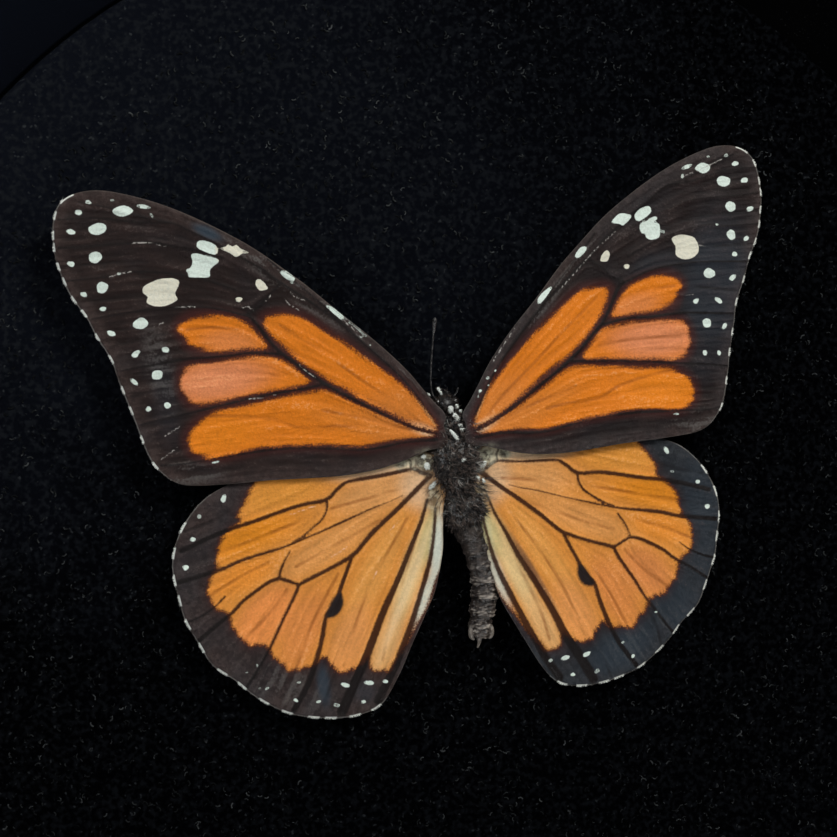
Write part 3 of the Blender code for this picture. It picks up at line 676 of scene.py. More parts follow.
HIND = {
    "vein_share": 2.1,
    "dash_half": 0.62,
    "paler_band": 9.0,
    "outline": (
        (-1.2, 0.6), (-0.9, 2.4), (0.8, 3.7), (3.5, 4.5), (8.5, 4.9), (14.0, 4.9), (19.0, 4.3), (22.8, 3.4),
        (25.8, 2.2), (28.2, 0.1), (29.8, -2.4), (30.5, -5.2), (30.2, -8.5), (29.8, -10.9), (28.6, -13.8),
        (27.4, -16.3), (25.2, -18.3), (23.0, -20.6), (19.8, -22.8), (16.0, -24.0), (12.2, -24.3),
        (9.2, -23.4),
    ),
    "outline_left": (
        (7.0, -20.6), (4.8, -16.9), (3.4, -14.6), (1.9, -12.1), (1.1, -9.9), (0.35, -7.2), (0.05, -4.8),
        (-0.2, -2.8), (-0.7, -1.2),
    ),
    "outline_right": (
        (7.0, -20.8), (4.6, -16.7), (2.7, -13.2), (1.7, -9.8), (1.0, -6.4), (0.4, -3.6), (-0.4, -1.6),
    ),
    "patches": (
        ((-2.5, 1.5), (-1.0, 5.0), (2.0, 6.0), (12.0, 6.0), (19.6, 5.2), (20.3, 3.2), (21.2, 2.0),
         (22.1, 0.8), (22.8, -0.3), (22.5, -0.95), (23.8, -1.7), (24.8, -2.7), (25.4, -3.8), (25.6, -5.4),
         (26.5, -6.7), (27.0, -7.9), (26.8, -9.2), (26.1, -10.2), (25.0, -10.9), (24.8, -12.4),
         (24.0, -13.6), (23.2, -14.7), (22.1, -14.8), (21.1, -15.2), (20.7, -16.5), (19.8, -17.2),
         (19.0, -18.2), (17.7, -18.0), (16.4, -18.0), (15.2, -17.2), (14.4, -18.1), (13.7, -19.1),
         (12.4, -19.2), (11.0, -18.6), (10.2, -18.0), (9.9, -19.4), (8.9, -19.8), (7.9, -19.7), (7.1, -18.5),
         (5.9, -17.3), (4.9, -15.9), (3.9, -14.6), (3.0, -13.5), (2.2, -12.0), (1.4, -10.3), (0.4, -9.0),
         (-1.0, -6.0), (-2.5, -2.0)),
    ),
    "veins": (
        (0.22, 0.14, ((0.7, 1.1), (1.7, 1.5), (2.9, 2.15), (5.7, 1.9), (9.6, 1.8), (10.6, 1.6))),
        (0.18, 0.26, ((10.6, 1.6), (11.5, 1.0), (12.7, 0.1), (15.6, -0.1), (18.0, -0.5), (21.0, -1.1),
         (23.2, -1.5), (26.0, -2.2), (29.3, -3.2))),
        (0.14, 0.1, ((12.7, 0.1), (12.8, -0.9), (13.4, -1.9), (14.5, -2.7), (15.8, -3.5), (17.0, -4.0))),
        (0.02, 0.26, ((4.2, -0.6), (5.6, -1.05), (7.9, -1.6), (10.5, -2.4), (13.0, -3.1), (16.3, -4.0),
         (18.6, -4.5), (21.0, -4.9), (23.2, -5.3), (25.4, -5.9), (30.0, -6.6))),
        (0.14, 0.14, ((17.5, -5.0), (18.3, -6.1), (18.8, -7.1), (19.0, -7.8))),
        (0.18, 0.14, ((19.0, -7.8), (17.9, -8.3), (16.9, -8.8))),
        (0.2, 0.22, ((19.0, -7.8), (20.3, -8.1), (21.9, -8.9), (23.3, -9.7), (24.5, -10.7), (26.5, -11.9),
         (28.6, -13.3))),
        (0.08, 0.16, ((25.2, -8.9), (26.4, -9.8), (28.0, -10.6), (29.7, -11.1))),
        (0.2, 0.18, ((16.9, -8.8), (17.5, -9.9), (18.4, -11.3), (19.5, -12.9), (20.9, -15.2), (23.0, -18.0),
         (24.0, -19.2))),
        (0.28, 0.2, ((0.9, 1.0), (1.8, 0.4), (3.2, -0.7), (5.2, -2.2), (7.8, -4.1), (9.4, -5.5),
         (10.7, -6.5), (13.4, -7.6), (15.5, -8.3), (16.9, -8.8))),
        (0.2, 0.3, ((10.7, -6.5), (11.2, -7.6), (12.2, -9.6), (13.3, -11.7), (14.3, -12.6), (15.0, -14.9),
         (15.9, -17.2), (17.4, -20.2), (19.2, -22.6))),
        (0.16, 0.58, ((1.5, -1.5), (2.5, -3.9), (4.0, -6.6), (5.4, -9.2), (6.9, -11.6), (8.2, -13.8),
         (9.5, -16.2), (10.7, -18.5), (12.4, -21.2), (13.8, -23.6))),
        (0.14, 0.5, ((0.7, -2.6), (1.2, -5.4), (1.9, -8.0), (2.9, -10.6), (4.0, -13.0), (5.0, -15.1),
         (6.0, -17.1), (7.2, -19.3), (8.8, -21.8), (9.6, -23.0))),
        (0.14, 0.12, ((3.0, 2.15), (2.9, 2.9), (3.3, 3.6), (3.9, 4.0))),
    ),
    "creases": (
        ((21.0, -16.3), (22.0, -18.4), (22.6, -20.6)), ((14.0, -19.0), (15.2, -21.4), (16.0, -23.6)),
        ((23.5, -3.6), (26.5, -4.3), (29.9, -5.2)), ((23.0, 0.4), (26.0, -0.6), (28.7, -1.2)),
        ((14.5, -1.6), (19.0, -2.6), (24.5, -3.9)), ((3.5, 0.2), (8.0, -0.4), (12.4, -1.0)),
        ((6.0, -2.6), (10.0, -4.2), (17.0, -6.8)), ((20.0, -5.9), (23.0, -6.9), (26.5, -8.4)),
        ((4.0, -3.2), (7.5, -8.0), (10.4, -12.6), (13.0, -18.6)),
        ((3.0, -5.0), (5.2, -10.0), (7.4, -14.8), (8.6, -18.6)), ((18.3, -9.2), (20.6, -11.6), (23.6, -13.9)),
        ((12.4, -8.2), (15.5, -12.6), (18.2, -17.6)),
    ),
    "dots": (
        (24.0, 1.8, 0.5, 0.95, 30), (27.9, -2.15, 0.6, 0.5, 0), (29.05, -5.1, 0.65, 0.55, 20),
        (13.1, -20.7, 1.0, 0.5, 20), (10.4, -20.9, 1.15, 0.5, 15), (8.6, -21.0, 0.55, 0.35, 10),
        (14.3, -22.8, 0.7, 0.4, 25), (11.3, -22.9, 0.6, 0.4, 0), (18.8, -21.5, 0.55, 0.35, 35),
    ),
    "dots_left": (
        (26.9, 0.2, 0.45, 0.4, 0), (22.6, -19.6, 0.3, 0.22, 0), (21.8, -19.7, 0.45, 0.22, -20),
        (23.8, -17.6, 0.3, 0.16, 0), (22.6, -17.0, 0.16, 0.3, 0), (18.2, -19.6, 0.4, 0.2, 0),
        (16.3, -22.1, 0.55, 0.25, 0),
    ),
    "dots_right": ((24.7, -0.7, 0.5, 0.26, -20), (17.6, -19.8, 0.45, 0.2, 10), (21.9, -16.7, 0.3, 0.2, 0)),
    "dashes": (
        (28.7, -0.8), (30.1, -3.4), (30.2, -6.3), (29.9, -8.6), (29.5, -11.3), (28.3, -14.1), (26.4, -17.1),
        (24.4, -18.9), (22.3, -21.1), (19.9, -22.7), (17.0, -23.7), (15.1, -24.1), (12.4, -24.2),
        (10.0, -23.6),
    ),
    "fringed": ((25.0, 2.6), (8.4, -22.6)),
    "blue_left": ((15.5, -20.3, 0.75, 2.4, 0, 0.75), (11.0, -21.8, 1.2, 1.2, 0, 0.25)),
    "blue_right": (
        (28.0, -6.0, 2.6, 8.0, 0, 0.3), (24.5, -16.0, 6.0, 3.0, -50, 0.35), (17.5, -20.5, 5.0, 2.4, 25, 0.45),
    ),
    "bare": ((1.3, 2.7, 1.7, 1.3, 20, 1.0), (3.9, 3.0, 0.8, 0.7, -15, 1.0), (0.8, -1.4, 0.9, 1.8, 0, 0.75)),
    "bloom": ((19.5, -19.5, 5.0, 2.4, 25, 0.1),),
    "pocket": (
        ((12.3, -10.2), (13.2, -10.6), (14.1, -11.9), (14.4, -12.9), (13.6, -13.1), (12.6, -12.5),
         (12.1, -11.4)),
    ),
    "ground": (0.7, 0.26, 0.045),
    "tints": (
        (22.0, -2.8, 6.0, 1.9, -14, (0.74, 0.24, 0.012), 0.9),
        (18.0, 1.6, 5.5, 1.9, -5, (0.71, 0.28, 0.04), 0.7),
        (6.0, 0.4, 6.5, 2.4, -10, (0.69, 0.32, 0.11), 0.85),
        (13.0, -5.0, 7.5, 1.9, -24, (0.74, 0.32, 0.095), 0.8),
        (23.0, -7.0, 4.0, 1.6, -18, (0.79, 0.26, 0.03), 0.8),
        (21.0, -12.0, 4.2, 2.6, -40, (0.69, 0.235, 0.07), 0.85),
        (17.0, -14.0, 5.2, 2.2, -60, (0.71, 0.24, 0.062), 0.85),
        (8.2, -8.5, 7.5, 1.6, -56, (0.75, 0.325, 0.075), 0.85),
        (12.0, -16.0, 4.6, 2.2, -62, (0.79, 0.315, 0.095), 0.85),
        (1.8, 0.0, 2.6, 3.0, -30, (0.72, 0.46, 0.27), 0.85),
        (4.0, -9.0, 8.5, 1.3, -64, (0.76, 0.53, 0.25), 0.95),
        (8.0, -17.0, 4.0, 1.45, -62, (0.76, 0.42, 0.17), 0.85),
        (6.5, 3.2, 5.5, 1.3, -4, (0.78, 0.55, 0.36), 0.95), (3.0, 3.1, 2.0, 0.9, -4, (0.8, 0.7, 0.5), 0.9),
        (1.7, -5.6, 3.0, 1.0, -70, (0.56, 0.46, 0.21), 0.85),
    ),
    "tints_left": (
        (0.95, -7.2, 4.6, 0.85, -79, (0.6, 0.62, 0.54), 1.0),
        (2.95, -12.3, 4.0, 0.8, -62, (0.6, 0.58, 0.48), 1.0),
        (4.9, -11.0, 8.0, 0.5, -62, (0.8, 0.58, 0.34), 0.5),
        (21.0, -12.0, 4.0, 2.4, -40, (0.86, 0.285, 0.07), 0.8),
    ),
    "tints_right": (
        (2.3, -10.4, 4.4, 0.85, -69, (0.6, 0.56, 0.46), 1.0),
        (1.0, -4.8, 3.6, 0.8, -78, (0.58, 0.51, 0.29), 1.0),
        (6.9, -10.8, 5.4, 0.46, -60, (0.16, 0.08, 0.05), 0.8),
    ),
    "warmth_left": 0.75,
    "warmth_right": 0.0,
    "scuffs_left": (
        ((11.0, -5.4), (12.2, -6.0), (13.0, -6.3)), ((8.0, -8.6), (8.8, -9.6)), ((14.0, -0.4), (17.0, -1.0)),
        ((5.0, -3.4), (6.2, -4.4)),
    ),
}

def smooth_line(points, spacing, closed=False):
    """Even points on a smooth curve through the given ones."""
    points = np.asarray(points, float)
    count = len(points)
    pieces = []
    for index in range(count if closed else count - 1):
        near, far = points[index], points[(index + 1) % count]
        before = points[index - 1] if closed or index else 2 * near - far
        after = points[(index + 2) % count] if closed or index + 2 < count else 2 * far - near
        steps = max(1, round(np.linalg.norm(far - near) / spacing))
        share = (np.arange(steps) / steps)[:, None]
        square, cube = 2 * before - 5 * near + 4 * far - after, 3 * near - before - 3 * far + after
        pieces.append(0.5 * (2 * near + (far - before) * share + square * share**2 + cube * share**3))
    if not closed:
        pieces.append(points[-1:])
    return np.concatenate(pieces)


def nearest(places, line, closed=False):
    """For each place, how far the line is, and how far along the line (0 to 1) its nearest point lies."""
    line = np.asarray(line, float)
    ends = np.roll(line, -1, axis=0) if closed else line[1:]
    starts = line if closed else line[:-1]
    far = np.full(len(places), 1e9)
    along = np.zeros(len(places))
    for index, (start, end) in enumerate(zip(starts, ends)):
        step = end - start
        share = np.clip((places - start) @ step / max(step @ step, 1e-12), 0.0, 1.0)
        distance = np.hypot(*(places - start - share[:, None] * step).T)
        better = distance < far
        far[better] = distance[better]
        along[better] = (index + share[better]) / len(starts)
    return far, along


def is_inside(places, loop):
    across, up = places.T
    found = np.zeros(len(places), bool)
    for start, end in zip(np.roll(loop, 1, axis=0), loop):
        spans = (end[1] > up) != (start[1] > up)
        with np.errstate(divide="ignore", invalid="ignore"):
            left = across < (start[0] - end[0]) * (up - end[1]) / (start[1] - end[1]) + end[0]
        found ^= spans & left
    return found


def edge_distance(places, loop):
    """Distance to a closed loop, positive inside it."""
    far, _ = nearest(places, loop, closed=True)
    return np.where(is_inside(places, loop), far, -far)


def dot_loop(across, forward, width, height, turned, draw):
    """A slightly uneven rounded dot."""
    angles = np.arange(DOT_CORNERS) * math.tau / DOT_CORNERS
    reach = 1.0 + draw.uniform(-DOT_UNEVENNESS, DOT_UNEVENNESS, DOT_CORNERS)
    flat = np.stack([np.cos(angles) * width / 2 * reach, np.sin(angles) * height / 2 * reach], axis=1)
    angle = math.radians(turned)
    spin = np.array([[math.cos(angle), math.sin(angle)], [-math.sin(angle), math.cos(angle)]])
    return flat @ spin + (across, forward)


def read_field(field, spots):
    """A field on square cells, read between them. Spots are given in cells."""
    spot = np.clip(spots, 0, np.array(field.shape[:2]) - 1.001)
    cell = spot.astype(int)
    part = spot - cell
    if field.ndim == 3:
        part = part[:, :, None]
    column, row = cell.T
    near = field[column, row] * (1 - part[:, 1]) + field[column, row + 1] * part[:, 1]
    far = field[column + 1, row] * (1 - part[:, 1]) + field[column + 1, row + 1] * part[:, 1]
    return near * (1 - part[:, 0]) + far * part[:, 0]


def combed_streaks(places, veins, seed):
    """Noise drawn out along the veins, from 0 to 1, for each place."""
    low = places.min(axis=0) - 1.0
    size = np.ceil((places.max(axis=0) + 1.0 - low) / COMB_CELL).astype(int)
    speckle = np.random.default_rng(seed).random(size)
    middles, ways = [], []
    for _, _, line in veins:
        points = smooth_line(line, 1.2)
        steps = points[1:] - points[:-1]
        middles.append((points[1:] + points[:-1]) / 2)
        ways.append(steps / np.linalg.norm(steps, axis=1)[:, None])
    middles, ways = np.concatenate(middles), np.concatenate(ways)
    counts = np.meshgrid(*(np.arange(count) for count in size), indexing="ij")
    cells = np.stack(counts, axis=-1).reshape(-1, 2) * COMB_CELL + low
    pull = 1.0 / (((cells[:, None] - middles[None]) ** 2).sum(axis=2) + 0.3) ** 1.5
    flow = pull @ ways
    flow = (flow / np.linalg.norm(flow, axis=1)[:, None]).reshape(*size, 2)

    total, count = read_field(speckle, (places - low) / COMB_CELL), 1
    for way in (-1.0, 1.0):
        spots = places.copy()
        for _ in range(COMB_STROKES):
            spots = spots + way * COMB_STEP * read_field(flow, (spots - low) / COMB_CELL)
            total = total + read_field(speckle, (spots - low) / COMB_CELL)
            count += 1
    total /= count
    return np.clip(0.5 + (total - total.mean()) / total.std() * COMB_CONTRAST, 0.0, 1.0)


def soft_patch(places, across, forward, length, width, turned):
    """1 in the middle of an oval, falling to 0 outside it."""
    angle = math.radians(turned)
    offset = places - (across, forward)
    out = (offset @ (math.cos(angle), math.sin(angle))) / length
    over = (offset @ (-math.sin(angle), math.cos(angle))) / width
    return np.exp(-((out**2 + over**2) ** 2))


def tint(places, ground, tints):
    colour = np.tile(np.array(ground, float), (len(places), 1))
    for *oval, paint, strength in tints:
        share = (soft_patch(places, *oval) * strength)[:, None]
        colour = colour * (1 - share) + np.array(paint) * share
    return colour


def of_side(design, key, side):
    """What both wings of a pair have, and then what only this one has."""
    return design.get(key, ()) + design.get(f"{key}_{side}", ())


def across_all(pick, values, places, otherwise):
    """The least or greatest of several values at each place, or the other one if a wing has none."""
    return pick(values, axis=0) if values else np.full(len(places), otherwise)


def slid_lines(design, side):
    """The wing's inner lines and loops. They sit a little farther in or out on one wing than on the other."""
    slide, onset = design.get(f"slide_{side}", (0.0, 0.0))

    def slid(line, spacing, closed=False):
        line = smooth_line(line, spacing, closed)
        held = np.clip((line[:, 0] - onset) / SLIDE_FADE_IN, 0.0, 1.0)
        line[:, 0] += slide * (held * np.clip((SLIDE_END - line[:, 0]) / SLIDE_FADE_OUT, 0.0, 1.0))
        return line

    return slid


def field_points(rim):
    """Rows of points in a triangular pattern over the wing, clear of its rim."""
    low, high = rim.min(axis=0), rim.max(axis=0)
    field = []
    for index, row in enumerate(np.arange(low[1], high[1], PANEL_SPACING * math.sqrt(3) / 2)):
        across = np.arange(low[0] + (index % 2) * PANEL_SPACING / 2, high[0], PANEL_SPACING)
        field.append(np.stack([across, np.full(len(across), row)], axis=1))
    field = np.concatenate(field)
    return field[edge_distance(field, rim) > PANEL_SPACING * 0.5]


def panel_mesh(rim, lines):
    """Flat triangles inside the rim, with sides along each (line, closed): points, triangles, rim sides."""
    field = field_points(rim)
    points, edges = [rim], [(index, (index + 1) % len(rim)) for index in range(len(rim))]
    total = len(rim)
    for line, closed in lines:
        line = line[edge_distance(line, rim) > RIM_CLEARANCE]
        if len(line) < 2:
            continue
        gap, _ = nearest(field, line, closed)
        field = field[gap > PANEL_SPACING * LINE_CLEARANCE]
        points.append(line)
        edges += [(total + index, total + index + 1) for index in range(len(line) - 1)]
        if closed:
            edges.append((total + len(line) - 1, total))
        total += len(line)
    made = delaunay_2d_cdt([Vector(point) for point in np.concatenate(points + [field])], edges, [], 1, 1e-3)
    places = np.array([tuple(point) for point in made[0]])
    triangles = np.array([face for face in made[2]])
    used = np.zeros(len(places), bool)
    used[triangles.ravel()] = True
    number = np.cumsum(used) - 1
    places, triangles = places[used], number[triangles]
    spans = places[triangles[:, 1:]] - places[triangles[:, :1]]
    turned = spans[:, 0, 0] * spans[:, 1, 1] - spans[:, 0, 1] * spans[:, 1, 0] < 0
    triangles[turned] = triangles[turned][:, ::-1]
    sides = np.concatenate([triangles[:, [0, 1]], triangles[:, [1, 2]], triangles[:, [2, 0]]])
    keys = {tuple(side) for side in sides.tolist()}
    return places, triangles, [side for side in keys if side[::-1] not in keys]


def draw_panel(design, side, seed):
    """The flat wing: its points, triangles and rim, and what each point knows of the markings."""
    draw = np.random.default_rng(seed)
    rim = smooth_line(of_side(design, "outline", side), PANEL_SPACING, closed=True)
    slid = slid_lines(design, side)
    veins = [(start, end, slid(line, PANEL_SPACING)) for start, end, line in design["veins"]]
    patches = [slid(loop, 0.3, closed=True) for loop in design["patches"]]
    creases = [slid(line, 0.5) for line in design["creases"]]
    whites = [slid(loop, 0.22, closed=True) for loop in of_side(design, "white", side)]
    whites += [slid(dot_loop(*dot, draw), 0.16, closed=True) for dot in of_side(design, "dots", side)]
    lines = [(line, False) for _, _, line in veins] + [(loop, True) for loop in whites]
    places, triangles, rim_sides = panel_mesh(rim, lines)

    margin, along_rim = nearest(places, rim, closed=True)
    first, last = (np.argmin(np.hypot(*(rim - spot).T)) for spot in design["fringed"])
    is_fringed = (along_rim * len(rim) > first) & (along_rim * len(rim) < last)
    closest, thick = np.full(len(places), FAR_OFF), np.full(len(places), FAR_OFF)
    for start, end, line in veins:
        far, along = nearest(places, line)
        closest = np.minimum(closest, far)
        thick = np.minimum(thick, far - (start + (end - start) * along) / 2 * design["vein_share"])
    panel = {
        "places": places, "triangles": triangles, "rim": rim_sides, "vein_line": closest, "vein": thick,
        "margin": margin, "fringe": np.where(is_fringed, margin, FAR_OFF),
        "patch": np.max([edge_distance(places, loop) for loop in patches], axis=0),
        "white": np.max([edge_distance(places, loop) for loop in whites], axis=0),
        "crease": np.min([nearest(places, line)[0] for line in creases], axis=0),
        "dash": np.min([np.hypot(*(places - spot).T) for spot in design["dashes"]], axis=0)
                - design["dash_half"],
        "paler": np.clip(1.0 - margin / design["paler_band"], 0.0, 1.0),
        "combed": combed_streaks(places, design["veins"], seed),
        "warmth": np.full(len(places), design[f"warmth_{side}"]),
        "ground": tint(places, design["ground"], of_side(design, "tints", side)),
    }
    pockets = [edge_distance(places, smooth_line(loop, 0.2, closed=True))
               for loop in of_side(design, "pocket", side)]
    panel["pocket"] = across_all(np.max, pockets, places, -FAR_OFF)
    scuffs = [nearest(places, smooth_line(line, 0.3))[0] for line in of_side(design, "scuffs", side)]
    panel["scuff"] = across_all(np.min, scuffs, places, FAR_OFF)
    creamy = [np.hypot(*(places - spot[:2]).T) < spot[2] for spot in of_side(design, "creamy", side)]
    panel["warm"] = across_all(np.max, creamy, places, 0.0)
    for key in ("bloom", "blue", "bare"):
        ovals = [soft_patch(places, *oval) * strength for *oval, strength in of_side(design, key, side)]
        panel[key] = across_all(np.max, ovals, places, 0.0)
    return panel


def add_values(mesh, name, values):
    made = mesh.attributes.new(name, "FLOAT", "POINT")
    made.data.foreach_set("value", np.asarray(values, np.float32))


def make_scale_group():
    """A ragged edge of scales: 0 outside and 1 inside, broken up by noise drawn out along the veins."""
    group, entry, leave = new_mask_group(
        "ragged_scales", Distance=0.0, Combed=0.5, Raggedness=0.3, Softness=0.1)
    fine = noise(group, in_millimetres(group), 0.17, detail=2.0, roughness=0.65)
    jitter = plus(group, minus(group, fine, 0.5), times(group, minus(group, entry["Combed"], 0.5), 0.45))
    shifted = scaled(group, jitter, entry["Raggedness"], entry["Distance"])
    mask = ramp(group, shifted, times(group, entry["Softness"], -1.0), entry["Softness"])
    group.links.new(mask, leave)
    return group


def attribute(tree, name, output="Fac"):
    return node(tree, "ShaderNodeAttribute", attribute_name=name).outputs[output]


def uneven(tree, texture, depth):
    """A share of light that varies by that depth, up to 1 plus half of it."""
    return scaled(tree, texture, depth, 1.0 - depth / 2)


def make_wing_scales(name, vein_brown, halo):
    """Scales on membrane: orange patches, black ground, dark veins, white spots and a pale fringe."""
    material, tree, shader = new_material(name)
    vector = in_millimetres(tree)
    combed, crease_line = attribute(tree, "combed"), attribute(tree, "crease")
    patch, margin = attribute(tree, "patch"), attribute(tree, "margin")
    scales, grain, clouds, blotches = (noise(tree, vector, *texture) for texture in SCALE_TEXTURES)
    fleck = times(tree, grain, plus(tree, combed, scales))
    # Painted shade along the creases, in patches: brown over the orange and near black over the black.
    crease = times(tree, ramp(tree, crease_line, 0.30, 0.02), ramp(tree, blotches, 0.30, 0.60))

    def edged(distance, raggedness, softness):
        """1 inside a marking whose edge is broken up like rows of scales."""
        return mask_of(tree, ragged_scales, Distance=distance, Combed=combed, Raggedness=raggedness,
                       Softness=softness)

    light = times(tree, uneven(tree, combed, 0.30), uneven(tree, scales, 0.40), uneven(tree, grain, 0.40),
                  uneven(tree, clouds, 0.24))
    light = node(tree, "ShaderNodeCombineColor", {0: light, 1: light, 2: light}).outputs[0]
    orange = layered(tree, blend(tree, 1.0, attribute(tree, "ground", "Color"), light, "MULTIPLY"),
                     (times(tree, ramp(tree, fleck, 0.64, 0.90), 0.28), ORANGE_FLECK),
                     (times(tree, crease, 0.62), CREASE_SHADE_BROWN))

    warmth = maths(tree, "ADD", attribute(tree, "warmth"), scaled(tree, blotches, 1.2, -0.6), clamp=True)
    lighter = blend(tree, warmth, *COMBED_BLACK)
    mottle = ramp(tree, noise(tree, vector, 0.75, detail=3.0, roughness=0.7), 0.40, 0.66)
    worn = maths(tree, "MULTIPLY", attribute(tree, "paler"), scaled(tree, mottle, 0.75, 0.45), clamp=True)
    bloom = times(tree, attribute(tree, "bloom"), ramp(tree, plus(tree, grain, combed), 0.95, 1.25))
    black = layered(tree, blend(tree, warmth, *GROUND_BLACK),
                    (times(tree, ramp(tree, combed, 0.35, 0.95), 0.8), lighter),
                    (times(tree, ramp(tree, clouds, 0.45, 0.72), 0.5), lighter),
                    (worn, blend(tree, warmth, *WORN_BLACK)),
                    (times(tree, ramp(tree, fleck, 0.66, 0.90), 0.40), BLACK_FLECK),
                    (bloom, BLOOM_GREY),
                    # Painted sheen: a bluish reflection painted over the black.
                    (attribute(tree, "blue"), PAINTED_BLUE_SHEEN),
                    (times(tree, crease, 0.6), CREASE_SHADE_BLACK),
                    (times(tree, ramp(tree, patch, -1.3, -0.1), halo), PATCH_HALO))

    inside = edged(plus(tree, patch, 0.16), 0.80, 0.22)
    full = edged(minus(tree, patch, 0.12), 0.95, 0.26)
    on_vein = minus(tree, 1.0, edged(attribute(tree, "vein"), 0.30, 0.13))
    pocket = edged(minus(tree, attribute(tree, "pocket"), 0.10), 0.35, 0.20)
    white = edged(attribute(tree, "white"), 0.12, 0.04)
    patchy = scaled(tree, clouds, 0.4, noise(tree, vector, 0.8, detail=3.0, roughness=0.7))
    membrane = blend(tree, ramp(tree, patchy, 0.58, 0.86), *BARE_MEMBRANE)
    spot = layered(tree, blend(tree, attribute(tree, "warm"), *SPOT_WHITE),
                   (times(tree, ramp(tree, grain, 0.6, 0.3), 0.35), SPOT_GRIT))
    edge_line = times(tree, ramp(tree, attribute(tree, "fringe"), 0.13, 0.05), ramp(tree, clouds, 0.35, 0.60))
    dash = times(tree, ramp(tree, attribute(tree, "dash"), 0.12, -0.05), ramp(tree, margin, 0.20, 0.09))
    # Rubbed scales and painted glints: paler lines along the veins.
    scuff = times(tree, ramp(tree, attribute(tree, "scuff"), 0.13, 0.04), ramp(tree, grain, 0.40, 0.58))
    colour = layered(tree, black,
                     (inside, PATCH_EDGE),
                     (full, orange),
                     (times(tree, on_vein, 0.96), blend(tree, inside, VEIN_BLACK, vein_brown)),
                     (pocket, POCKET_BLACK),
                     (attribute(tree, "bare"), membrane),
                     (white, spot),
                     # Painted highlight: a thin pale line along the wing's edge.
                     (times(tree, ramp(tree, margin, 0.16, 0.05), 0.28), PAINTED_RIM_HIGHLIGHT),
                     (times(tree, edge_line, 0.6), FRINGE_GREY),
                     (dash, DASH_WHITE),
                     (scuff, blend(tree, inside, *RUBBED_AND_GLINT)))

    feed(tree, shader, Base_Color=colour, Roughness=scaled(tree, scales, 0.30, 0.40), Specular_IOR_Level=0.12)
    height = plus(tree, times(tree, combed, 1.0), times(tree, scales, 0.45))
    relief(tree, shader, plus(tree, height, times(tree, grain, 0.6)), depth=0.13, strength=0.85)
    return material


def hinge(root, droop, lift, sweep, span, side):
    """From the flat wing in millimetres to its place on the pad. Span lengthens or shortens it a little."""
    turned = Euler((math.radians(lift), side * math.radians(droop), side * math.radians(sweep)), "XYZ")
    sized = Matrix.Diagonal((span * MM, MM, MM, 1.0))
    return SPECIMEN @ Matrix.Translation(Vector(root) * MM) @ turned.to_matrix().to_4x4() @ sized


def wing_height(places, panel, phase):
    """How far each point of the membrane stands off the flat: ridged veins, sagging cells, slow waves."""
    across, forward = places.T
    ridge = VEIN_RISE * np.exp(-((panel["vein_line"] / VEIN_SPREAD) ** 2))
    sag = -CELL_SAG * np.clip(panel["vein_line"] / 1.6, 0.0, 1.0) ** 1.5
    fold = -CREASE_DEPTH * np.exp(-((panel["crease"] / 0.22) ** 2))
    wave = PANEL_WAVE * (np.sin(across * 0.42 + phase) * np.sin(forward * 0.37 + 1.3 * phase)
                         + 0.5 * np.sin(across * 0.9 - forward * 0.7 + 2.1 * phase))
    ripple = COMB_RIPPLE * (panel["combed"] - 0.5)
    pocket = POCKET_RISE * np.clip(panel["pocket"] / 0.5, 0.0, 1.0)
    held = np.clip(np.hypot(across, forward) / ROOT_STIFFNESS, 0.0, 1.0)
    return (wave + sag + fold + ripple) * held + ridge + pocket


def make_wing(name, side, pose, panel, material, phase):
    """A closed sheet: an upper and an under skin joined round the rim."""
    places, triangles = panel["places"], panel["triangles"]
    count = len(places)
    height = wing_height(places, panel, phase)
    thick = MEMBRANE * np.clip(panel["margin"] / 0.3, 0.35, 1.0)
    upper, under = (np.column_stack([side * places[:, 0], places[:, 1], height + way * thick / 2])
                    for way in (1, -1))
    faces = np.concatenate([triangles, triangles[:, ::-1] + count]).tolist()
    faces += [(start, start + count, end + count, end) for start, end in panel["rim"]]
    if side < 0:
        faces = [tuple(face)[::-1] for face in faces]
    wing = new_piece(name, np.concatenate([upper, under]), faces, material)
    mesh = wing.data
    mesh.transform(Matrix.Scale(1 / MM, 4))
    mesh.transform(pose)
    for key in SHADER_MARKS:
        add_values(mesh, key, np.tile(panel[key], 2))
    made = mesh.attributes.new("ground", "FLOAT_COLOR", "POINT")
    rgba = np.column_stack([panel["ground"], np.ones(count)])
    made.data.foreach_set("color", np.tile(rgba, (2, 1)).astype(np.float32).ravel())
    return wing


ragged_scales = make_scale_group()
fore_scales = make_wing_scales("forewing_scales", FORE_VEIN_BROWN, halo=0.85)
hind_scales = make_wing_scales("hindwing_scales", HIND_VEIN_BROWN, halo=0.25)
# Each wing's root in the body's millimetres, its droop, lift and sweep in degrees, its span and its seed.
WINGS = (
    ("forewing_left", FORE, fore_scales, (-2.0, 0.0, 5.8), 4.5, 3.0, -2.5, 1.006, 11),
    ("forewing_right", FORE, fore_scales, (2.0, 0.0, 5.8), 5.5, -3.0, 2.6, 0.994, 12),
    ("hindwing_left", HIND, hind_scales, (-2.0, -4.7, 4.7), 4.0, 4.0, -4.5, 1.0, 13),
    ("hindwing_right", HIND, hind_scales, (2.0, -4.7, 4.7), 5.0, 4.0, 0.8, 1.0, 14),
)
fringed_wings = []
for wing_name, design, scales, root, droop, lift, sweep, span, seed in WINGS:
    kind, label = wing_name.split("_")
    side = -1.0 if label == "left" else 1.0
    panel = draw_panel(design, label, seed)
    pose = hinge(root, droop, lift, sweep, span, side)
    wing = make_wing(f"{wing_name}_sheet", side, pose, panel, scales, phase=seed * 0.7)
    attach(wing, "root")
    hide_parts(wing_name)
    fringed_wings.append((wing, panel))

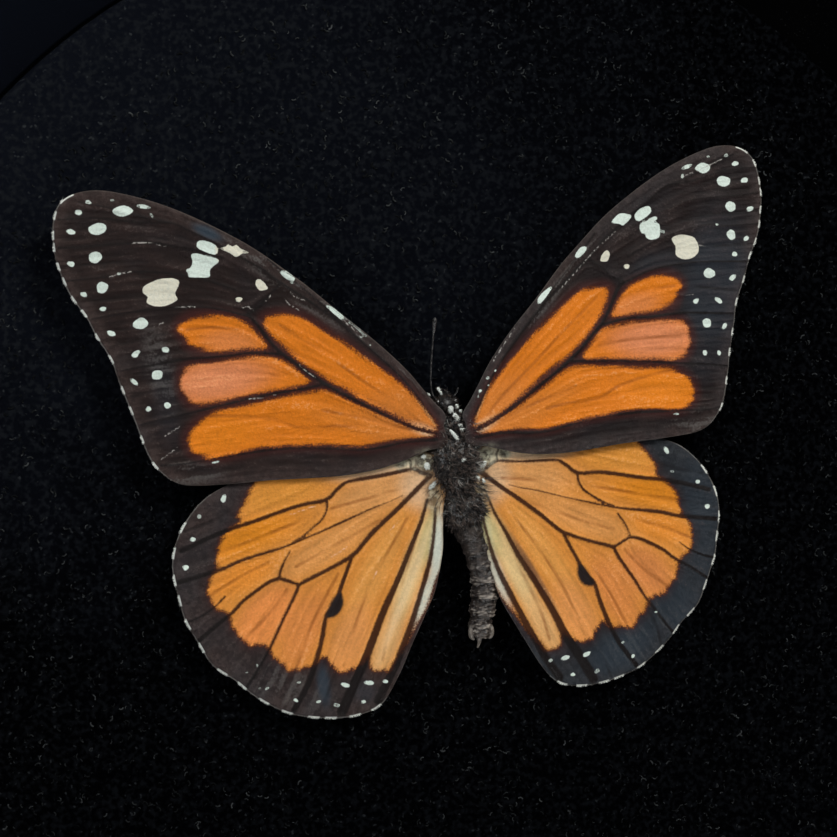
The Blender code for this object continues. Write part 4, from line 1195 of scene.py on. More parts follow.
# ---------------------------------------------------------------------------------------------------
# The body: a head, a deep chest that holds the wings, and a ringed abdomen that has dried and shrunk.
# Horny skin shows on the eyes and on the abdomen's rings; the rest is hidden by short dark fur.
# ---------------------------------------------------------------------------------------------------
HEAD_CENTRE = (-0.5, 4.05, 3.5)
HEAD_HALF = (1.25, 1.05, 1.25)
CHEST_CENTRE = (0.1, -2.2, 3.9)
CHEST_EGGS = (  # centre, half sizes, turn in degrees, rings, sides
    (CHEST_CENTRE, (2.35, 4.0, 2.45), (-4.0, 0.0, 0.0), 30, 44), ((0.15, 1.7, 3.6), (1.85, 1.5, 1.7)),
    ((0.5, -5.6, 3.5), (2.2, 2.0, 1.85)), ((1.0, -7.6, 3.9), (2.45, 2.1, 1.5)),
    ((-1.1, -2.2, 5.2), (1.5, 2.6, 1.0), (0.0, -22.0, 0.0)),
    ((1.3, -2.4, 5.2), (1.2, 2.6, 1.0), (0.0, 22.0, 0.0)),
)
ABDOMEN_ROUTE = (
    (0.8, -7.5, 3.3), (1.6, -9.7, 3.15), (2.45, -11.7, 2.9), (3.05, -14.1, 2.6), (3.45, -16.4, 2.35),
    (3.25, -18.6, 2.15), (2.85, -20.6, 2.0), (2.55, -22.3, 1.95), (2.3, -23.6, 1.9),
)
ABDOMEN_LENGTH = 15.4
RING_RADII = (1.62, 1.7, 1.62, 1.5, 1.45, 1.48, 1.5, 1.32)
RING_LENGTH = ABDOMEN_LENGTH / (len(RING_RADII) + 0.35)
TAIL_RADIUS = 0.95
TAIL_START = 0.75  # where the last ring starts to narrow, as a share of it
ABDOMEN_SIDES = 56
ABDOMEN_ROWS = 170
# Stretch, size and seed of each kind of wrinkle, and how deep it is.
WRINKLES = (
    ((0.7, 1.4, 0.7), 0.60, 7, 0.08), ((0.8, 1.5, 0.8), 0.30, 8, 0.07), ((0.45, 2.4, 0.45), 0.34, 9, 0.07),
)

FUR_SHADES = ((0.004, 0.003, 0.0035), (0.17, 0.124, 0.104))
FUR_GAP_SHADE = (0.005, 0.004, 0.0045)
FUR_WHITE = (0.88, 0.90, 0.86)
CHITIN_SHADES = ((0.010, 0.0068, 0.0060), (0.066, 0.048, 0.040))
CHITIN_RIDGE_HIGHLIGHT = (0.34, 0.29, 0.25)
CHITIN_FURROW_SHADE = (0.006, 0.004, 0.0035)
HORN_SHADES = ((0.010, 0.009, 0.010), (0.060, 0.055, 0.055))
EYE_SHADES = ((0.005, 0.004, 0.004), (0.022, 0.014, 0.010))


def skin(rings):
    """Closes a row of rings of points into one shape: its places and its faces."""
    sides = len(rings[0])
    places = [rings[0].mean(axis=0), *(point for ring in rings for point in ring), rings[-1].mean(axis=0)]
    last = 1 + (len(rings) - 1) * sides
    faces = []
    for step in range(sides):
        after = (step + 1) % sides
        faces.append((0, 1 + after, 1 + step))
        for near in range(1, last, sides):
            faces.append((near + step, near + after, near + sides + after, near + sides + step))
        faces.append((last + step, last + after, len(places) - 1))
    return np.array(places), faces


def rounded(centre, half, turned=(0.0, 0.0, 0.0), rings=26, sides=36):
    """An egg lying along the body, as (places, faces)."""
    around = np.arange(sides) * math.tau / sides
    made = [np.stack([half[0] * math.sin(angle) * np.sin(around), np.full(sides, -half[1] * math.cos(angle)),
                      half[2] * math.sin(angle) * np.cos(around)], axis=1)
            for angle in np.linspace(0.0, math.pi, rings + 2)[1:-1]]
    places, faces = skin(made)
    spin = np.array(Euler([math.radians(angle) for angle in turned], "XYZ").to_matrix())
    return places @ spin.T + centre, faces


def sweep(route, radii, sides=12, level=(0.0, 0.0, 1.0)):
    """A round tube along even points, as (places, faces). Level is never along the route."""
    ahead = np.gradient(route, axis=0)
    ahead /= np.linalg.norm(ahead, axis=1)[:, None]
    over = np.cross(level, ahead)
    over /= np.linalg.norm(over, axis=1)[:, None]
    up = np.cross(ahead, over)
    around = np.arange(sides) * math.tau / sides
    rings = [spot + radius * (np.cos(around)[:, None] * across + np.sin(around)[:, None] * rise)
             for spot, radius, across, rise in zip(route, radii, over, up)]
    return skin(rings)


def joined(shapes):
    """Several shapes as one: their places and faces."""
    places, faces = [], []
    for more_places, more_faces in shapes:
        start = sum(len(part) for part in places)
        places.append(np.asarray(more_places, float))
        faces += [tuple(start + corner for corner in face) for face in more_faces]
    return np.concatenate(places), faces


def on_pad(places):
    """From the body's own millimetres to millimetres in the frame."""
    turned = np.array(SPECIMEN.to_3x3())
    return np.asarray(places, float) @ turned.T + np.array(SPECIMEN.translation) / MM


def lumps(places, size, seed):
    """Smooth noise from about -1 to 1 at each place."""
    return np.array([value_noise.noise(Vector(place) / size + Vector((seed, 0.0, 0.0))) for place in places])


def lumpy(shape, centre, size, seed, depth):
    """A shape swollen and shrunk about its centre by smooth noise."""
    places, faces = shape
    return places + depth * lumps(places, size, seed)[:, None] * (places - centre), faces


def abdomen_axis(along):
    """The abdomen's middle line, a distance from its front."""
    line = smooth_line(ABDOMEN_ROUTE, 0.1)
    run = np.concatenate([[0.0], np.cumsum(np.linalg.norm(np.diff(line, axis=0), axis=1))])
    return np.array([np.interp(along, run, line[:, axis]) for axis in range(3)])


def named_value(tree, name):
    made = node(tree, "GeometryNodeInputNamedAttribute", {"Name": name}, data_type="FLOAT")
    return made.outputs["Attribute"]


def vector_maths(tree, operation, inputs):
    return node(tree, "ShaderNodeVectorMath", inputs, operation=operation).outputs[0]


def bent_hair(tree, entry):
    """One tapered hair along Z, one unit long, that bows over towards its tip."""
    cone = node(tree, "GeometryNodeMeshCone", {
        "Vertices": 3, "Side Segments": 3, "Radius Top": 0.0, "Radius Bottom": 1.0, "Depth": 1.0,
    }, fill_type="NGON")
    height = apart(tree, node(tree, "GeometryNodeInputPosition").outputs[0])[2]
    bow = node(tree, "ShaderNodeCombineXYZ", {0: times(tree, height, height, 0.35)}).outputs[0]
    thin = slimmed(tree, cone.outputs["Mesh"], entry["Hair Radius"], entry["Hair Length"])
    return node(tree, "GeometryNodeSetPosition", {"Geometry": thin, "Offset": bow}).outputs[0]


def make_fur_tree():
    """Grows fine hairs, combed one way with some ruffle. The host's reach and tone set each hair's."""
    tree, entry = new_growth_tree("fine_fur", (
        ("Density", "Float", 1.0), ("Hair Length", "Float", MM), ("Hair Radius", "Float", 0.03 * MM),
        ("Comb", "Vector", None), ("Lift", "Float", 0.5), ("Ruffle", "Float", 0.5), ("Seed", "Int", 1),
        ("Material", "Material", None),
    ))
    seed = entry["Seed"]
    spread = scattered(tree, entry)
    hair = bent_hair(tree, entry)
    ruffle = vector_maths(tree, "SCALE", {0: chance_vector(tree, (-1.0, -1.0, -1.0), (1.0, 1.0, 1.0), seed),
                                          "Scale": entry["Ruffle"]})
    clump = node(tree, "ShaderNodeTexNoise", {"Scale": 1.5 / MM, "Detail": 1.0}).outputs["Color"]
    clump = vector_maths(tree, "ADD", {0: clump, 1: (-0.5, -0.5, -0.5)})
    clump = vector_maths(tree, "SCALE", {0: clump, "Scale": 4.5})
    lifted = vector_maths(tree, "SCALE", {0: spread["Normal"], "Scale": entry["Lift"]})
    way = entry["Comb"]
    for more in (lifted, ruffle, clump):
        way = vector_maths(tree, "ADD", {0: way, 1: more})
    aimed = node(tree, "FunctionNodeAlignRotationToVector", {"Vector": way}, axis="Z").outputs[0]
    size = times(tree, chance(tree, 0.45, 1.15, seed), named_value(tree, "reach"), entry["Hair Length"])
    fur = planted(tree, spread["Points"], hair, aimed, size)
    tone = plus(tree, chance(tree, -0.28, 0.28, seed), named_value(tree, "tone"))
    toned = node(tree, "GeometryNodeStoreNamedAttribute", {"Geometry": fur, "Name": "tone", "Value": tone},
                 data_type="FLOAT", domain="INSTANCE")
    finish_growth(tree, toned.outputs[0], entry["Material"])
    return tree


def fur_on(name, host_shape, reach, tone, **inputs):
    """Fur on a shape given in the body's own millimetres. Its density is for each square millimetre."""
    host = bpy.data.meshes.new(f"{name}_host")
    host.from_pydata((on_pad(host_shape[0]) * MM).tolist(), [], host_shape[1])
    host.update()
    add_values(host, "reach", np.broadcast_to(reach, len(host.vertices)))
    add_values(host, "tone", np.broadcast_to(tone, len(host.vertices)))
    fur = grow(name, host, fine_fur, fur_inputs(**inputs))
    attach(fur, "root")
    return fur


def fur_inputs(density, length, radius, comb, lift, ruffle, seed):
    return {"Density": density / MM**2, "Hair Length": length * MM, "Hair Radius": radius * MM, "Comb": comb,
            "Lift": lift, "Ruffle": ruffle, "Seed": seed, "Material": dark_fur}


def make_fur_material():
    material, tree, shader = new_material("dark_fur")
    tone = attribute(tree, "tone")
    mottle = noise(tree, in_millimetres(tree), 0.55, detail=2.0, roughness=0.6)
    # Painted shade: the hairs are painted near black in patches, for the shade in the gaps between clumps.
    colour = layered(tree, blend(tree, ramp(tree, tone, 0.05, 0.55, smooth=False), *FUR_SHADES),
                     (ramp(tree, mottle, 0.62, 0.40), FUR_GAP_SHADE),
                     (ramp(tree, tone, 0.6, 1.0, smooth=False), FUR_WHITE))
    feed(tree, shader, Base_Color=colour, Roughness=0.45, Specular_IOR_Level=0.4)
    relief(tree, shader, noise(tree, in_millimetres(tree), 0.1), depth=0.02, strength=0.4)
    return material


def make_chitin():
    """Dried horny skin, wrinkled: a painted grey-brown highlight on the ridges and painted shade, nearly
    black, between them.
    """
    material, tree, shader = new_material("abdomen_chitin")
    vector = in_millimetres(tree)
    fine = noise(tree, vector, 0.45, detail=4.0, roughness=0.7)
    pits = node(tree, "ShaderNodeTexVoronoi", {"Vector": vector, "Scale": 3.2}, feature="SMOOTH_F1")
    ridge = attribute(tree, "ridge")
    # Painted highlight on the ridges and painted shade in the furrows.
    colour = layered(tree, blend(tree, ramp(tree, fine, 0.32, 0.72), *CHITIN_SHADES),
                     (times(tree, ramp(tree, ridge, 0.55, 0.90), 0.9), CHITIN_RIDGE_HIGHLIGHT),
                     (ramp(tree, ridge, 0.46, 0.22), CHITIN_FURROW_SHADE))
    feed(tree, shader, Base_Color=colour, Roughness=scaled(tree, fine, 0.4, 0.22))
    relief(tree, shader, plus(tree, fine, pits.outputs["Distance"]), depth=0.12, strength=0.8)
    return material


def make_horn():
    material, tree, shader = new_material("dark_horn")
    vector = in_millimetres(tree)
    bands = noise(tree, vector, 0.35, detail=2.0)
    feed(tree, shader, Base_Color=blend(tree, ramp(tree, bands, 0.35, 0.7), *HORN_SHADES),
         Roughness=scaled(tree, bands, 0.3, 0.25))
    relief(tree, shader, noise(tree, vector, 0.12), depth=0.02, strength=0.5)
    return material


def make_eye():
    material, tree, shader = new_material("faceted_eye")
    vector = in_millimetres(tree)
    facets = node(tree, "ShaderNodeTexVoronoi", {"Vector": vector, "Scale": 11.0}).outputs["Distance"]
    feed(tree, shader, Base_Color=blend(tree, ramp(tree, noise(tree, vector, 0.5), 0.4, 0.7), *EYE_SHADES),
         Roughness=scaled(tree, facets, 0.2, 0.12), Coat_Weight=0.5)
    relief(tree, shader, facets, depth=0.03, strength=0.7)
    return material


fine_fur = make_fur_tree()
dark_fur, horn = make_fur_material(), make_horn()

head_shapes = [lumpy(rounded(HEAD_CENTRE, HEAD_HALF), HEAD_CENTRE, 0.6, 3, depth=0.08)]
eye_shapes = []
for side in (-1, 1):
    palp_root = (HEAD_CENTRE[0] - 0.1 + side * 0.38, 5.15 - side * 0.15, 3.35)
    head_shapes.append(rounded(palp_root, (0.30, 0.70, 0.36), (35.0, 0.0, -side * 8.0), 14, 16))
    eye_centre = (HEAD_CENTRE[0] + side * 1.0, 4.25, 3.6)
    eye_shapes.append(rounded(eye_centre, (0.74, 0.80, 0.85), (0.0, 0.0, side * 12.0), 24, 32))
head_shape, eye_shape = joined(head_shapes), joined(eye_shapes)
head_core = new_piece("head_core", on_pad(head_shape[0]), head_shape[1], horn)
eye_pair = new_piece("eye_pair", on_pad(eye_shape[0]), eye_shape[1], make_eye())
head_fur = fur_on("head_fur", head_shape, reach=1.0, tone=0.22, density=50.0, length=0.48, radius=0.036,
                  comb=(0.0, 0.2, 0.25), lift=0.9, ruffle=0.6, seed=21)
for piece in (head_core, eye_pair, head_fur):
    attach(piece, "root")
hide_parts("head")

chest_shapes = [lumpy(rounded(*egg), CHEST_CENTRE, 1.3, 5, depth=0.06) for egg in CHEST_EGGS]
for side in (-1, 1):
    collar = ((0.2 + side * 1.9, 1.2, 5.0), (0.75, 1.25, 0.55), (0.0, side * 25.0, -side * 14.0))
    chest_shapes.append(rounded(*collar, 14, 18))
chest_places, chest_faces = joined(chest_shapes)
chest_core = new_piece("chest_core", on_pad(chest_places), chest_faces, horn)
dark_seam = np.exp(-((chest_places[:, 0] - 0.2) / 0.7) ** 2)  # along the middle of the back
chest_tone = (0.36 + 0.24 * lumps(chest_places, 1.2, 9) + 0.30 * lumps(chest_places, 0.42, 10)
              - 0.12 * dark_seam)
chest_reach = np.where(chest_places[:, 2] > 1.6, 1.0, 0.5)  # shorter on the belly
chest_fur = fur_on("chest_fur", (chest_places, chest_faces), chest_reach, chest_tone, density=30.0,
                   length=1.05, radius=0.066, comb=(0.0, -0.45, 0.0), lift=0.70, ruffle=0.9, seed=22)
for piece in (chest_core, chest_fur):
    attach(piece, "root")
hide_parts("thorax")

TUFT_ROOTS = ((1, -4.6), (1, -5.8), (-1, -4.8), (-1, -6.0), (1, 0.6), (-1, 0.6))  # side, and how far forward
tufts = joined([rounded((0.3 + side * 2.3, forward, 4.6), (0.5, 0.7, 0.4), rings=8, sides=12)
                for side, forward in TUFT_ROOTS])
tuft_sides = np.sign(tufts[0][:, 0] - 0.3)
for side, label, tuft_density, tuft_seed in ((1, "right", 16.0, 23), (-1, "left", 5.0, 24)):
    tuft = fur_on(f"base_tuft_{label}", tufts, np.where(tuft_sides == side, 1.0, 0.0), 0.16,
                  density=tuft_density, length=2.4, radius=0.036, comb=(side * 1.3, -0.75, 0.12), lift=0.35,
                  ruffle=0.4, seed=tuft_seed)


def abdomen_row(along):
    """One row of points round the abdomen, with its ridges, hair lengths and hair tones."""
    index = min(int(along / RING_LENGTH), len(RING_RADII) - 1)
    part = along / RING_LENGTH - index
    size = np.interp(along / RING_LENGTH, np.arange(len(RING_RADII)) + 0.5, RING_RADII)
    lap = 0.90 + 0.13 * min(part / 0.75, 1.0) ** 0.8 - 0.13 * max(0.0, (part - 0.82) / 0.18)
    if index == len(RING_RADII) - 1 and part > TAIL_START:
        size, lap = size + (TAIL_RADIUS - size) * (part - TAIL_START) / 0.6, 1.0
    centre = abdomen_axis(along)
    ahead = abdomen_axis(along + 0.05) - abdomen_axis(along - 0.05)
    ahead /= np.linalg.norm(ahead)
    over = np.cross((0.0, 0.0, 1.0), ahead)
    over /= np.linalg.norm(over)
    around = np.arange(ABDOMEN_SIDES) * math.tau / ABDOMEN_SIDES
    ways = np.cos(around)[:, None] * over + np.sin(around)[:, None] * np.cross(ahead, over)
    plain = centre + ways * size
    dried = min(1.0, max(0.25, (along - 2.5) / 6.0))
    crumple = sum(lumps(plain * stretch, size_of, seed) * depth for stretch, size_of, seed, depth in WRINKLES)
    wrinkle = 1.0 + dried * crumple * 1.4
    keel = 1.0 - 0.10 * dried * np.exp(-((np.sin(around) - 0.55) / 0.25) ** 2)
    row = centre + ways * (size * lap * wrinkle * keel)[:, None]
    # How far the wrinkles stand out: the chitin paints a highlight on the ridges and shade in the furrows.
    ridge = 0.36 + 0.16 * dried + (crumple * 3.8 + (lap - 0.97) * 2.5) * (0.4 + 0.6 * dried)
    reach = np.full(ABDOMEN_SIDES, 0.7 * max(0.0, 1.0 - max(0.0, along - 1.0) / 4.0))
    return row, np.clip(ridge, 0.0, 1.0), reach, 0.24 + 0.20 * lumps(plain, 0.7, 12)


def tail_part(start, steps, shares, radii, sides):
    """A horny tube at the tail. Its places are given from its start."""
    line = smooth_line([start + np.array(step) for step in steps], 0.12)
    return sweep(line, np.interp(np.linspace(0, 1, len(line)), shares, radii), sides)


made_rows = [abdomen_row(along) for along in np.linspace(0.0, ABDOMEN_LENGTH, ABDOMEN_ROWS)]
rows, ridges, reaches, tones = zip(*made_rows)
abdomen_shape = skin(rows)
tail_parts = []
for side in (-1, 1):
    steps = ((0.0, 0.0, 0.0), (side * 0.12, -0.6, 0.05), (side * 0.10, -1.15, 0.0), (-side * 0.2, -1.55, 0.0))
    clasper_root = abdomen_axis(ABDOMEN_LENGTH - 1.4) + (side * 1.05, 0.0, 0.15)
    tail_parts.append(tail_part(clasper_root, steps, (0, 0.3, 0.75, 1), (0.26, 0.36, 0.28, 0.12), 14))
tail_end = abdomen_axis(ABDOMEN_LENGTH)
tail_steps = (abdomen_axis(ABDOMEN_LENGTH - 0.4) - tail_end, (0.05, -0.5, -0.1), (-0.15, -1.15, -0.25))
tail_parts.append(tail_part(tail_end, tail_steps, (0, 0.6, 1), (0.42, 0.2, 0.1), 12))
whole_places, whole_faces = joined([abdomen_shape, *tail_parts])
abdomen_skin = new_piece("abdomen_skin", on_pad(whole_places), whole_faces, make_chitin())
# The tail's horn gets a middling painted highlight all over.
tail_ridges = np.full(len(whole_places) - len(abdomen_shape[0]), 0.72)
add_values(abdomen_skin.data, "ridge", np.concatenate([[0.3], *ridges, [0.3], tail_ridges]))
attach(abdomen_skin, "root")
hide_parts("abdomen")
abdomen_fur = fur_on("abdomen_fur", abdomen_shape, np.concatenate([[0.0], *reaches, [0.0]]),
                     np.concatenate([[0.1], *tones, [0.1]]), density=45.0, length=0.95, radius=0.050,
                     comb=(0.1, -0.95, 0.0), lift=0.40, ruffle=0.5, seed=25)

# ---------------------------------------------------------------------------------------------------
# White tufts: short pale hairs in neat spots on the head, the collar and the chest. Each spot is a
# small raised cushion of skin with the hairs standing close together on it.
# ---------------------------------------------------------------------------------------------------
CUSHION_HEIGHT = 0.16
# Centre in the body's millimetres, half sizes across and along, and its turn on the body in degrees.
PALE_SPOTS = (
    ((-0.2, 3.56, 4.75), 0.3, 0.38, 0), ((0.3, 2.65, 5.15), 0.27, 0.48, 32),
    ((0.64, 3.85, 4.35), 0.15, 0.26, 10), ((-2.35, 5.3, 3.9), 0.15, 0.14, 0),
    ((-1.15, 5.6, 4.1), 0.1, 0.5, 35), ((-0.35, 0.75, 6.1), 0.13, 0.75, 36),
    ((0.67, 1.75, 5.35), 0.24, 0.1, -12), ((0.75, 1.3, 5.6), 0.16, 0.1, -12),
    ((0.45, -2.1, 6.45), 0.17, 0.22, -30), ((1.78, 1.97, 5.5), 0.2, 0.3, -10),
    ((1.0, 3.3, 4.5), 0.14, 0.14, 0), ((2.45, -0.4, 5.4), 0.2, 0.22, 0), ((2.2, -0.8, 5.5), 0.14, 0.14, 0),
    ((2.35, -4.2, 5.3), 0.24, 0.13, -25), ((3.1, -4.6, 5.0), 0.14, 0.2, 20),
    ((3.2, -2.8, 5.0), 0.2, 0.5, -40), ((-3.65, -1.5, 5.0), 0.22, 0.17, 20),
    ((-3.35, -2.6, 5.0), 0.26, 0.38, 25), ((-2.1, -2.95, 5.4), 0.13, 0.42, 5),
    ((-2.8, -4.8, 4.9), 0.18, 0.52, -50),
)

spot_shapes = [rounded(centre, (wide, long, CUSHION_HEIGHT), (0.0, 0.0, turned), 10, 14)
               for centre, wide, long, turned in PALE_SPOTS]
spot_places, spot_faces = joined(spot_shapes)
pale_cushions = new_piece("pale_cushions", on_pad(spot_places), spot_faces, dark_fur)
add_values(pale_cushions.data, "tone", np.full(len(spot_places), 1.1))
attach(pale_cushions, "root")
pale_tufts = fur_on("pale_tufts", (spot_places, spot_faces), reach=1.0, tone=1.3, density=110.0, length=0.22,
                    radius=0.05, comb=(0.0, -0.3, 0.5), lift=0.8, ruffle=0.2, seed=26)

# ---------------------------------------------------------------------------------------------------
# The fringe: fine hair-like scales that stand out all along the outer margins of the wings. They are
# longer and white where the pale dashes are, short and grey between them.
# ---------------------------------------------------------------------------------------------------
FRINGE_TONES = (0.50, 1.15)  # grey, white
FRINGE_REACHES = (0.45, 1.0)
ON_RIM, ON_DASH = 0.01, 0.02  # how near still counts

for index, (wing, panel) in enumerate(fringed_wings):
    spots = np.array([tuple(vertex.co) for vertex in wing.data.vertices])
    half = len(spots) // 2
    held = [side for side in panel["rim"] if max(panel["fringe"][list(side)]) < ON_RIM]
    used = sorted({corner for side in held for corner in side})
    number = {corner: place for place, corner in enumerate(used)}
    strip = [(number[start], number[start] + len(used), number[end] + len(used), number[end])
             for start, end in held]
    if "left" in wing.name:
        strip = [face[::-1] for face in strip]
    host = bpy.data.meshes.new(f"fringe_host_{index}")
    host.from_pydata(np.concatenate([spots[used], spots[np.array(used) + half]]).tolist(), [], strip)
    pale = np.tile(panel["dash"][used] < ON_DASH, 2).astype(int)
    add_values(host, "tone", np.array(FRINGE_TONES)[pale])
    add_values(host, "reach", np.array(FRINGE_REACHES)[pale])
    label = wing.name.replace("_sheet", "_fringe")
    hairs = fur_inputs(density=520.0, length=0.19, radius=0.036, comb=(0.0, 0.0, 0.1), lift=3.0, ruffle=0.4,
                       seed=31 + index)
    fringe = grow(label, host, fine_fur, hairs)
    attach(fringe, "root")

# ---------------------------------------------------------------------------------------------------
# Feelers, legs and tongue: hollow horn, thinner than a pencil line. The left feeler still has its
# club, the right one broke off at the root, and the tongue is coiled like a watch spring.
# ---------------------------------------------------------------------------------------------------
FEELER_RADIUS = 0.10
FEELER_JOINTS = (0.28, 0.12)  # pitch, and how deep the beading is
FEELER_LEFT = ((-1.5, 4.6, 4.1), (-2.05, 5.1, 4.6), (-2.36, 6.1, 5.0), (-2.45, 8.0, 5.6), (-2.4, 9.7, 6.1),
               (-2.32, 11.3, 6.6), (-2.22, 13.7, 7.5))
FEELER_RIGHT = ((0.35, 4.9, 4.3), (0.65, 5.4, 4.7), (0.8, 5.9, 4.9))
CLUB_SWELL, CLUB_STEPS, CLUB_RISE = 1.35, 26, 14.0
CLUB_TIP = (0.95, 0.8, 0.6, 0.3)
LEG_RADIUS = 0.15
LEG_ROUTES = {
    "leg_middle": ((1.5, 0.3, 1.5), (2.6, 1.2, 1.2), (3.7, 0.5, 0.7), (4.4, -0.8, 0.45), (4.9, -2.2, 0.4)),
    "leg_hind": ((1.4, -4.4, 1.5), (2.7, -3.8, 1.2), (3.9, -5.0, 0.7), (4.5, -6.8, 0.45), (4.8, -8.4, 0.4)),
}
LEG_SHARES = (0.0, 0.24, 0.28, 0.52, 0.56, 0.98, 1.0)
LEG_SWELLS = (1.5, 1.2, 0.95, 0.85, 1.1, 0.6, 0.35)
TONGUE_CENTRE = (-0.1, 4.9, 1.1)
TONGUE_RADIUS, TONGUE_TURNS, TONGUE_STEPS = 0.115, 1.5, 110
TONGUE_REACH, TONGUE_NARROWING = 0.7, 0.5


def beaded(line, radius, pitch, depth):
    """Radii that swell and narrow along a line of many small joints."""
    along = np.concatenate([[0.0], np.cumsum(np.linalg.norm(np.diff(line, axis=0), axis=1))])
    return radius * (1.0 + depth * np.cos(along * math.tau / pitch))


def add_horn(name, shape, replaced):
    piece = new_piece(name, on_pad(shape[0]), shape[1], horn)
    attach(piece, "root")
    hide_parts(replaced)


left_line, right_line = smooth_line(FEELER_LEFT, 0.07), smooth_line(FEELER_RIGHT, 0.07)
left_radii = beaded(left_line, FEELER_RADIUS, *FEELER_JOINTS)
club_steps = np.arange(len(left_line)) - len(left_line) + CLUB_STEPS
left_radii *= 1.0 + CLUB_SWELL * np.clip(club_steps / CLUB_RISE, 0.0, 1.0)
left_radii[-len(CLUB_TIP):] *= CLUB_TIP
right_radii = beaded(right_line, FEELER_RADIUS, *FEELER_JOINTS)
add_horn("feeler_left", sweep(left_line, left_radii), "antenna_left")
add_horn("feeler_right", sweep(right_line, right_radii), "antenna_right")
for leg, route in LEG_ROUTES.items():
    for side, label in ((-1.0, "left"), (1.0, "right")):
        line = smooth_line(np.array(route) * (side, 1.0, 1.0), 0.12)
        share = np.linspace(0.0, 1.0, len(line))
        radii = np.interp(share, LEG_SHARES, LEG_SWELLS) * LEG_RADIUS * (1 + 0.06 * np.cos(share * 90.0))
        add_horn(f"{leg}_{label}_horn", sweep(line, radii), f"{leg}_{label}")
turns = np.linspace(0.0, TONGUE_TURNS, TONGUE_STEPS)
reach = TONGUE_REACH - turns / TONGUE_TURNS * TONGUE_NARROWING
angle = math.pi / 2 + turns * math.tau
coil = np.stack([np.full(TONGUE_STEPS, TONGUE_CENTRE[0]), TONGUE_CENTRE[1] + reach * np.cos(angle),
                 TONGUE_CENTRE[2] + reach * np.sin(angle)], axis=1)
coil_radii = beaded(coil, TONGUE_RADIUS, 0.2, 0.05)
add_horn("tongue_coil", sweep(coil, coil_radii, level=(1.0, 0.0, 0.0)), "proboscis")

# ---------------------------------------------------------------------------------------------------
# The dome: a blown and drawn cover of clear glass with an even wall and a fire-polished foot, which
# stands loose in the base's groove and keeps dust and pests off the butterfly.
# ---------------------------------------------------------------------------------------------------
DOME_RADIUS = 81.5
DOME_WALL = 2.5
DOME_SHOULDER = 36.0
DOME_TOP = 91.0
DOME_FOOT = 13.3
WALL_FADE = 6.0  # the wall's faint gloss fades out this far above and below the shoulder
CLEAR_TINT = (0.985, 0.99, 0.985, 1.0)
GLOSS_TINT = (0.97, 0.98, 0.98, 1.0)


def make_glass():
    """Thin clear glass: seen straight through, with a mirror's gloss where it turns away."""
    material, tree, shader = new_material("clear_glass")
    tree.nodes.remove(shader)
    vector = in_millimetres(tree)
    smears = noise(tree, vector, 30.0, detail=4.0, roughness=0.6)
    rough = scaled(tree, ramp(tree, smears, 0.5, 0.8), 0.05, 0.01)
    ripples = node(tree, "ShaderNodeBump", {
        "Height": noise(tree, vector, 22.0, detail=1.0), "Distance": 0.05 * MM, "Strength": 0.3}).outputs[0]
    turned_away = ramp(tree, node(tree, "ShaderNodeLayerWeight").outputs["Facing"], 0.68, 1.0)
    upright = ramp(tree, apart(tree, vector)[2], DOME_SHOULDER + WALL_FADE, DOME_SHOULDER - WALL_FADE)
    share = plus(tree, times(tree, turned_away, 0.65), times(tree, upright, 0.012))
    share = times(tree, share, node(tree, "ShaderNodeLightPath").outputs["Is Camera Ray"])
    clear = node(tree, "ShaderNodeBsdfTransparent", {"Color": CLEAR_TINT})
    gloss = node(tree, "ShaderNodeBsdfAnisotropic", {
        "Color": GLOSS_TINT, "Roughness": rough, "Normal": ripples})
    mixed = node(tree, "ShaderNodeMixShader", {0: share, 1: clear.outputs[0], 2: gloss.outputs[0]})
    tree.links.new(mixed.outputs[0], tree.nodes["Material Output"].inputs["Surface"])
    return material


dome_rise = DOME_TOP - DOME_SHOULDER
dome_outer = arc((0.0, DOME_SHOULDER), (DOME_RADIUS, dome_rise), 90, 0, 40)
dome_inner = arc((0.0, DOME_SHOULDER), (DOME_RADIUS - DOME_WALL, dome_rise - DOME_WALL), 0, 90, 40)
dome_outer[0] = (0.0, DOME_TOP)
dome_inner[-1] = (0.0, DOME_TOP - DOME_WALL)
dome_foot = arc((DOME_RADIUS - DOME_WALL / 2, DOME_FOOT + DOME_WALL / 2), DOME_WALL / 2, 0, -180, 10)
glass_cover = turn("glass_cover", dome_outer + dome_foot + dome_inner, make_glass())
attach(glass_cover, "root")
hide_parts("glass_dome")

# ---------------------------------------------------------------------------------------------------
# The studio: a plain pale floor and soft lamps, the strongest high on the right. The glass doesn't
# mirror the lamps, which would hide the butterfly, only a pair of tall window panes in front.
# ---------------------------------------------------------------------------------------------------
FLOOR_HALF, FLOOR_DROP = 3000, 0.05
FLOOR_SHADES = ((0.66, 0.66, 0.65), (0.72, 0.72, 0.71))
LAMP_TARGET = (-0.005, 0.013, 0.02)
DARK_ROOM = (0.010, 0.010, 0.011)
WINDOW_PANE = (5.0, 5.1, 5.3)
ROOM_LIGHT = (0.16, 0.16, 0.16)
BACKDROP = (0.80, 0.81, 0.82)
CAMERA_TILT = math.radians(16)
CAMERA_AWAY = 0.300
CAMERA_AIM = (-2.57, 2.64)  # on the pad, in the body's millimetres
SENSOR = 36.0
PHOTO_PIXELS = 837
PIXEL_SIZE = 0.1125 * MM


def make_floor():
    material, tree, shader = new_material("pale_floor")
    mottle = noise(tree, in_millimetres(tree), 60.0, detail=4.0)
    feed(tree, shader, Base_Color=blend(tree, mottle, *FLOOR_SHADES), Roughness=0.8)
    return material


floor_corners = [(x * FLOOR_HALF, y * FLOOR_HALF, -FLOOR_DROP)
                 for x, y in ((-1, -1), (1, -1), (1, 1), (-1, 1))]
floor = new_piece("floor", floor_corners, [(0, 1, 2, 3)], make_floor())


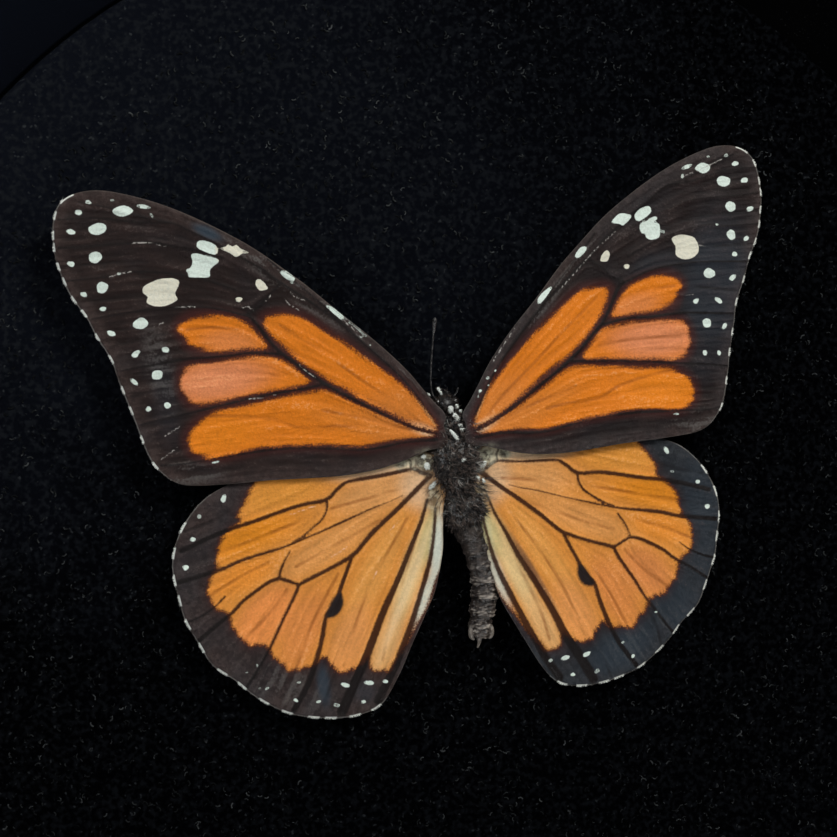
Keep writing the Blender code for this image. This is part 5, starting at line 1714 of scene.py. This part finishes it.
def add_lamp(name, place, size, power, left_out, colour=(1.0, 1.0, 1.0)):
    data = bpy.data.lights.new(name, "AREA")
    data.shape, data.size, data.size_y = "RECTANGLE", *size
    data.energy, data.color = power, colour
    lamp = bpy.data.objects.new(name, data)
    lamp.location = place
    lamp.rotation_euler = (Vector(LAMP_TARGET) - Vector(place)).to_track_quat("-Z", "Y").to_euler()
    bpy.context.scene.collection.objects.link(lamp)
    lamp.light_linking.receiver_collection = left_out


def leave_out(name, *pieces):
    """A collection of pieces that a lamp doesn't light."""
    left_out = bpy.data.collections.new(name)
    for piece in pieces:
        left_out.objects.link(piece)
    for item in left_out.collection_objects:
        item.light_linking.link_state = "EXCLUDE"
    return left_out


unlit_glass = leave_out("glass_left_out", glass_cover)
unlit_rim = leave_out("glass_and_rim_left_out", glass_cover, turned_base)
add_lamp("softbox_right", (0.40, 0.68, 0.78), (0.36, 0.36), 8.8, unlit_rim, (1.0, 0.985, 0.96))
add_lamp("softbox_left", (-0.70, 0.25, 0.62), (0.50, 0.40), 3.1, unlit_glass, (0.93, 0.96, 1.0))
add_lamp("fill_front", (0.0, -0.70, 0.50), (0.5, 0.3), 1.2, unlit_rim)

world = bpy.data.worlds.new("studio")
bpy.context.scene.world = world
world.use_nodes = True
sky = world.node_tree
rays = node(sky, "ShaderNodeLightPath").outputs
way = apart(sky, node(sky, "ShaderNodeTexCoord").outputs["Generated"])
aside = maths(sky, "ABSOLUTE", way[0])
pane = times(sky, ramp(sky, way[2], 0.10, 0.16), ramp(sky, way[2], 0.52, 0.44),
             ramp(sky, way[1], -0.45, -0.60), ramp(sky, aside, 0.06, 0.09), ramp(sky, aside, 0.62, 0.50))
mirrored = blend(sky, pane, DARK_ROOM, WINDOW_PANE)
colour = blend(sky, rays["Is Glossy Ray"], ROOM_LIGHT, mirrored)
colour = blend(sky, rays["Is Camera Ray"], colour, BACKDROP)
sky.links.new(colour, sky.nodes["Background"].inputs["Color"])
bpy.context.scene.view_settings.view_transform = "Standard"

camera_data = bpy.data.cameras.new("camera")
camera_data.sensor_width = SENSOR
camera_data.lens = SENSOR * CAMERA_AWAY / (PHOTO_PIXELS * PIXEL_SIZE)
camera_data.clip_start = 0.01
camera = bpy.data.objects.new("camera", camera_data)
aim = SPECIMEN @ Vector((CAMERA_AIM[0] * MM, CAMERA_AIM[1] * MM, 0.0))
camera.location = aim + CAMERA_AWAY * Vector((-math.sin(CAMERA_TILT), 0.0, math.cos(CAMERA_TILT)))
camera.rotation_euler = (0.0, -CAMERA_TILT, 0.0)
bpy.context.scene.collection.objects.link(camera)
bpy.context.scene.camera = camera
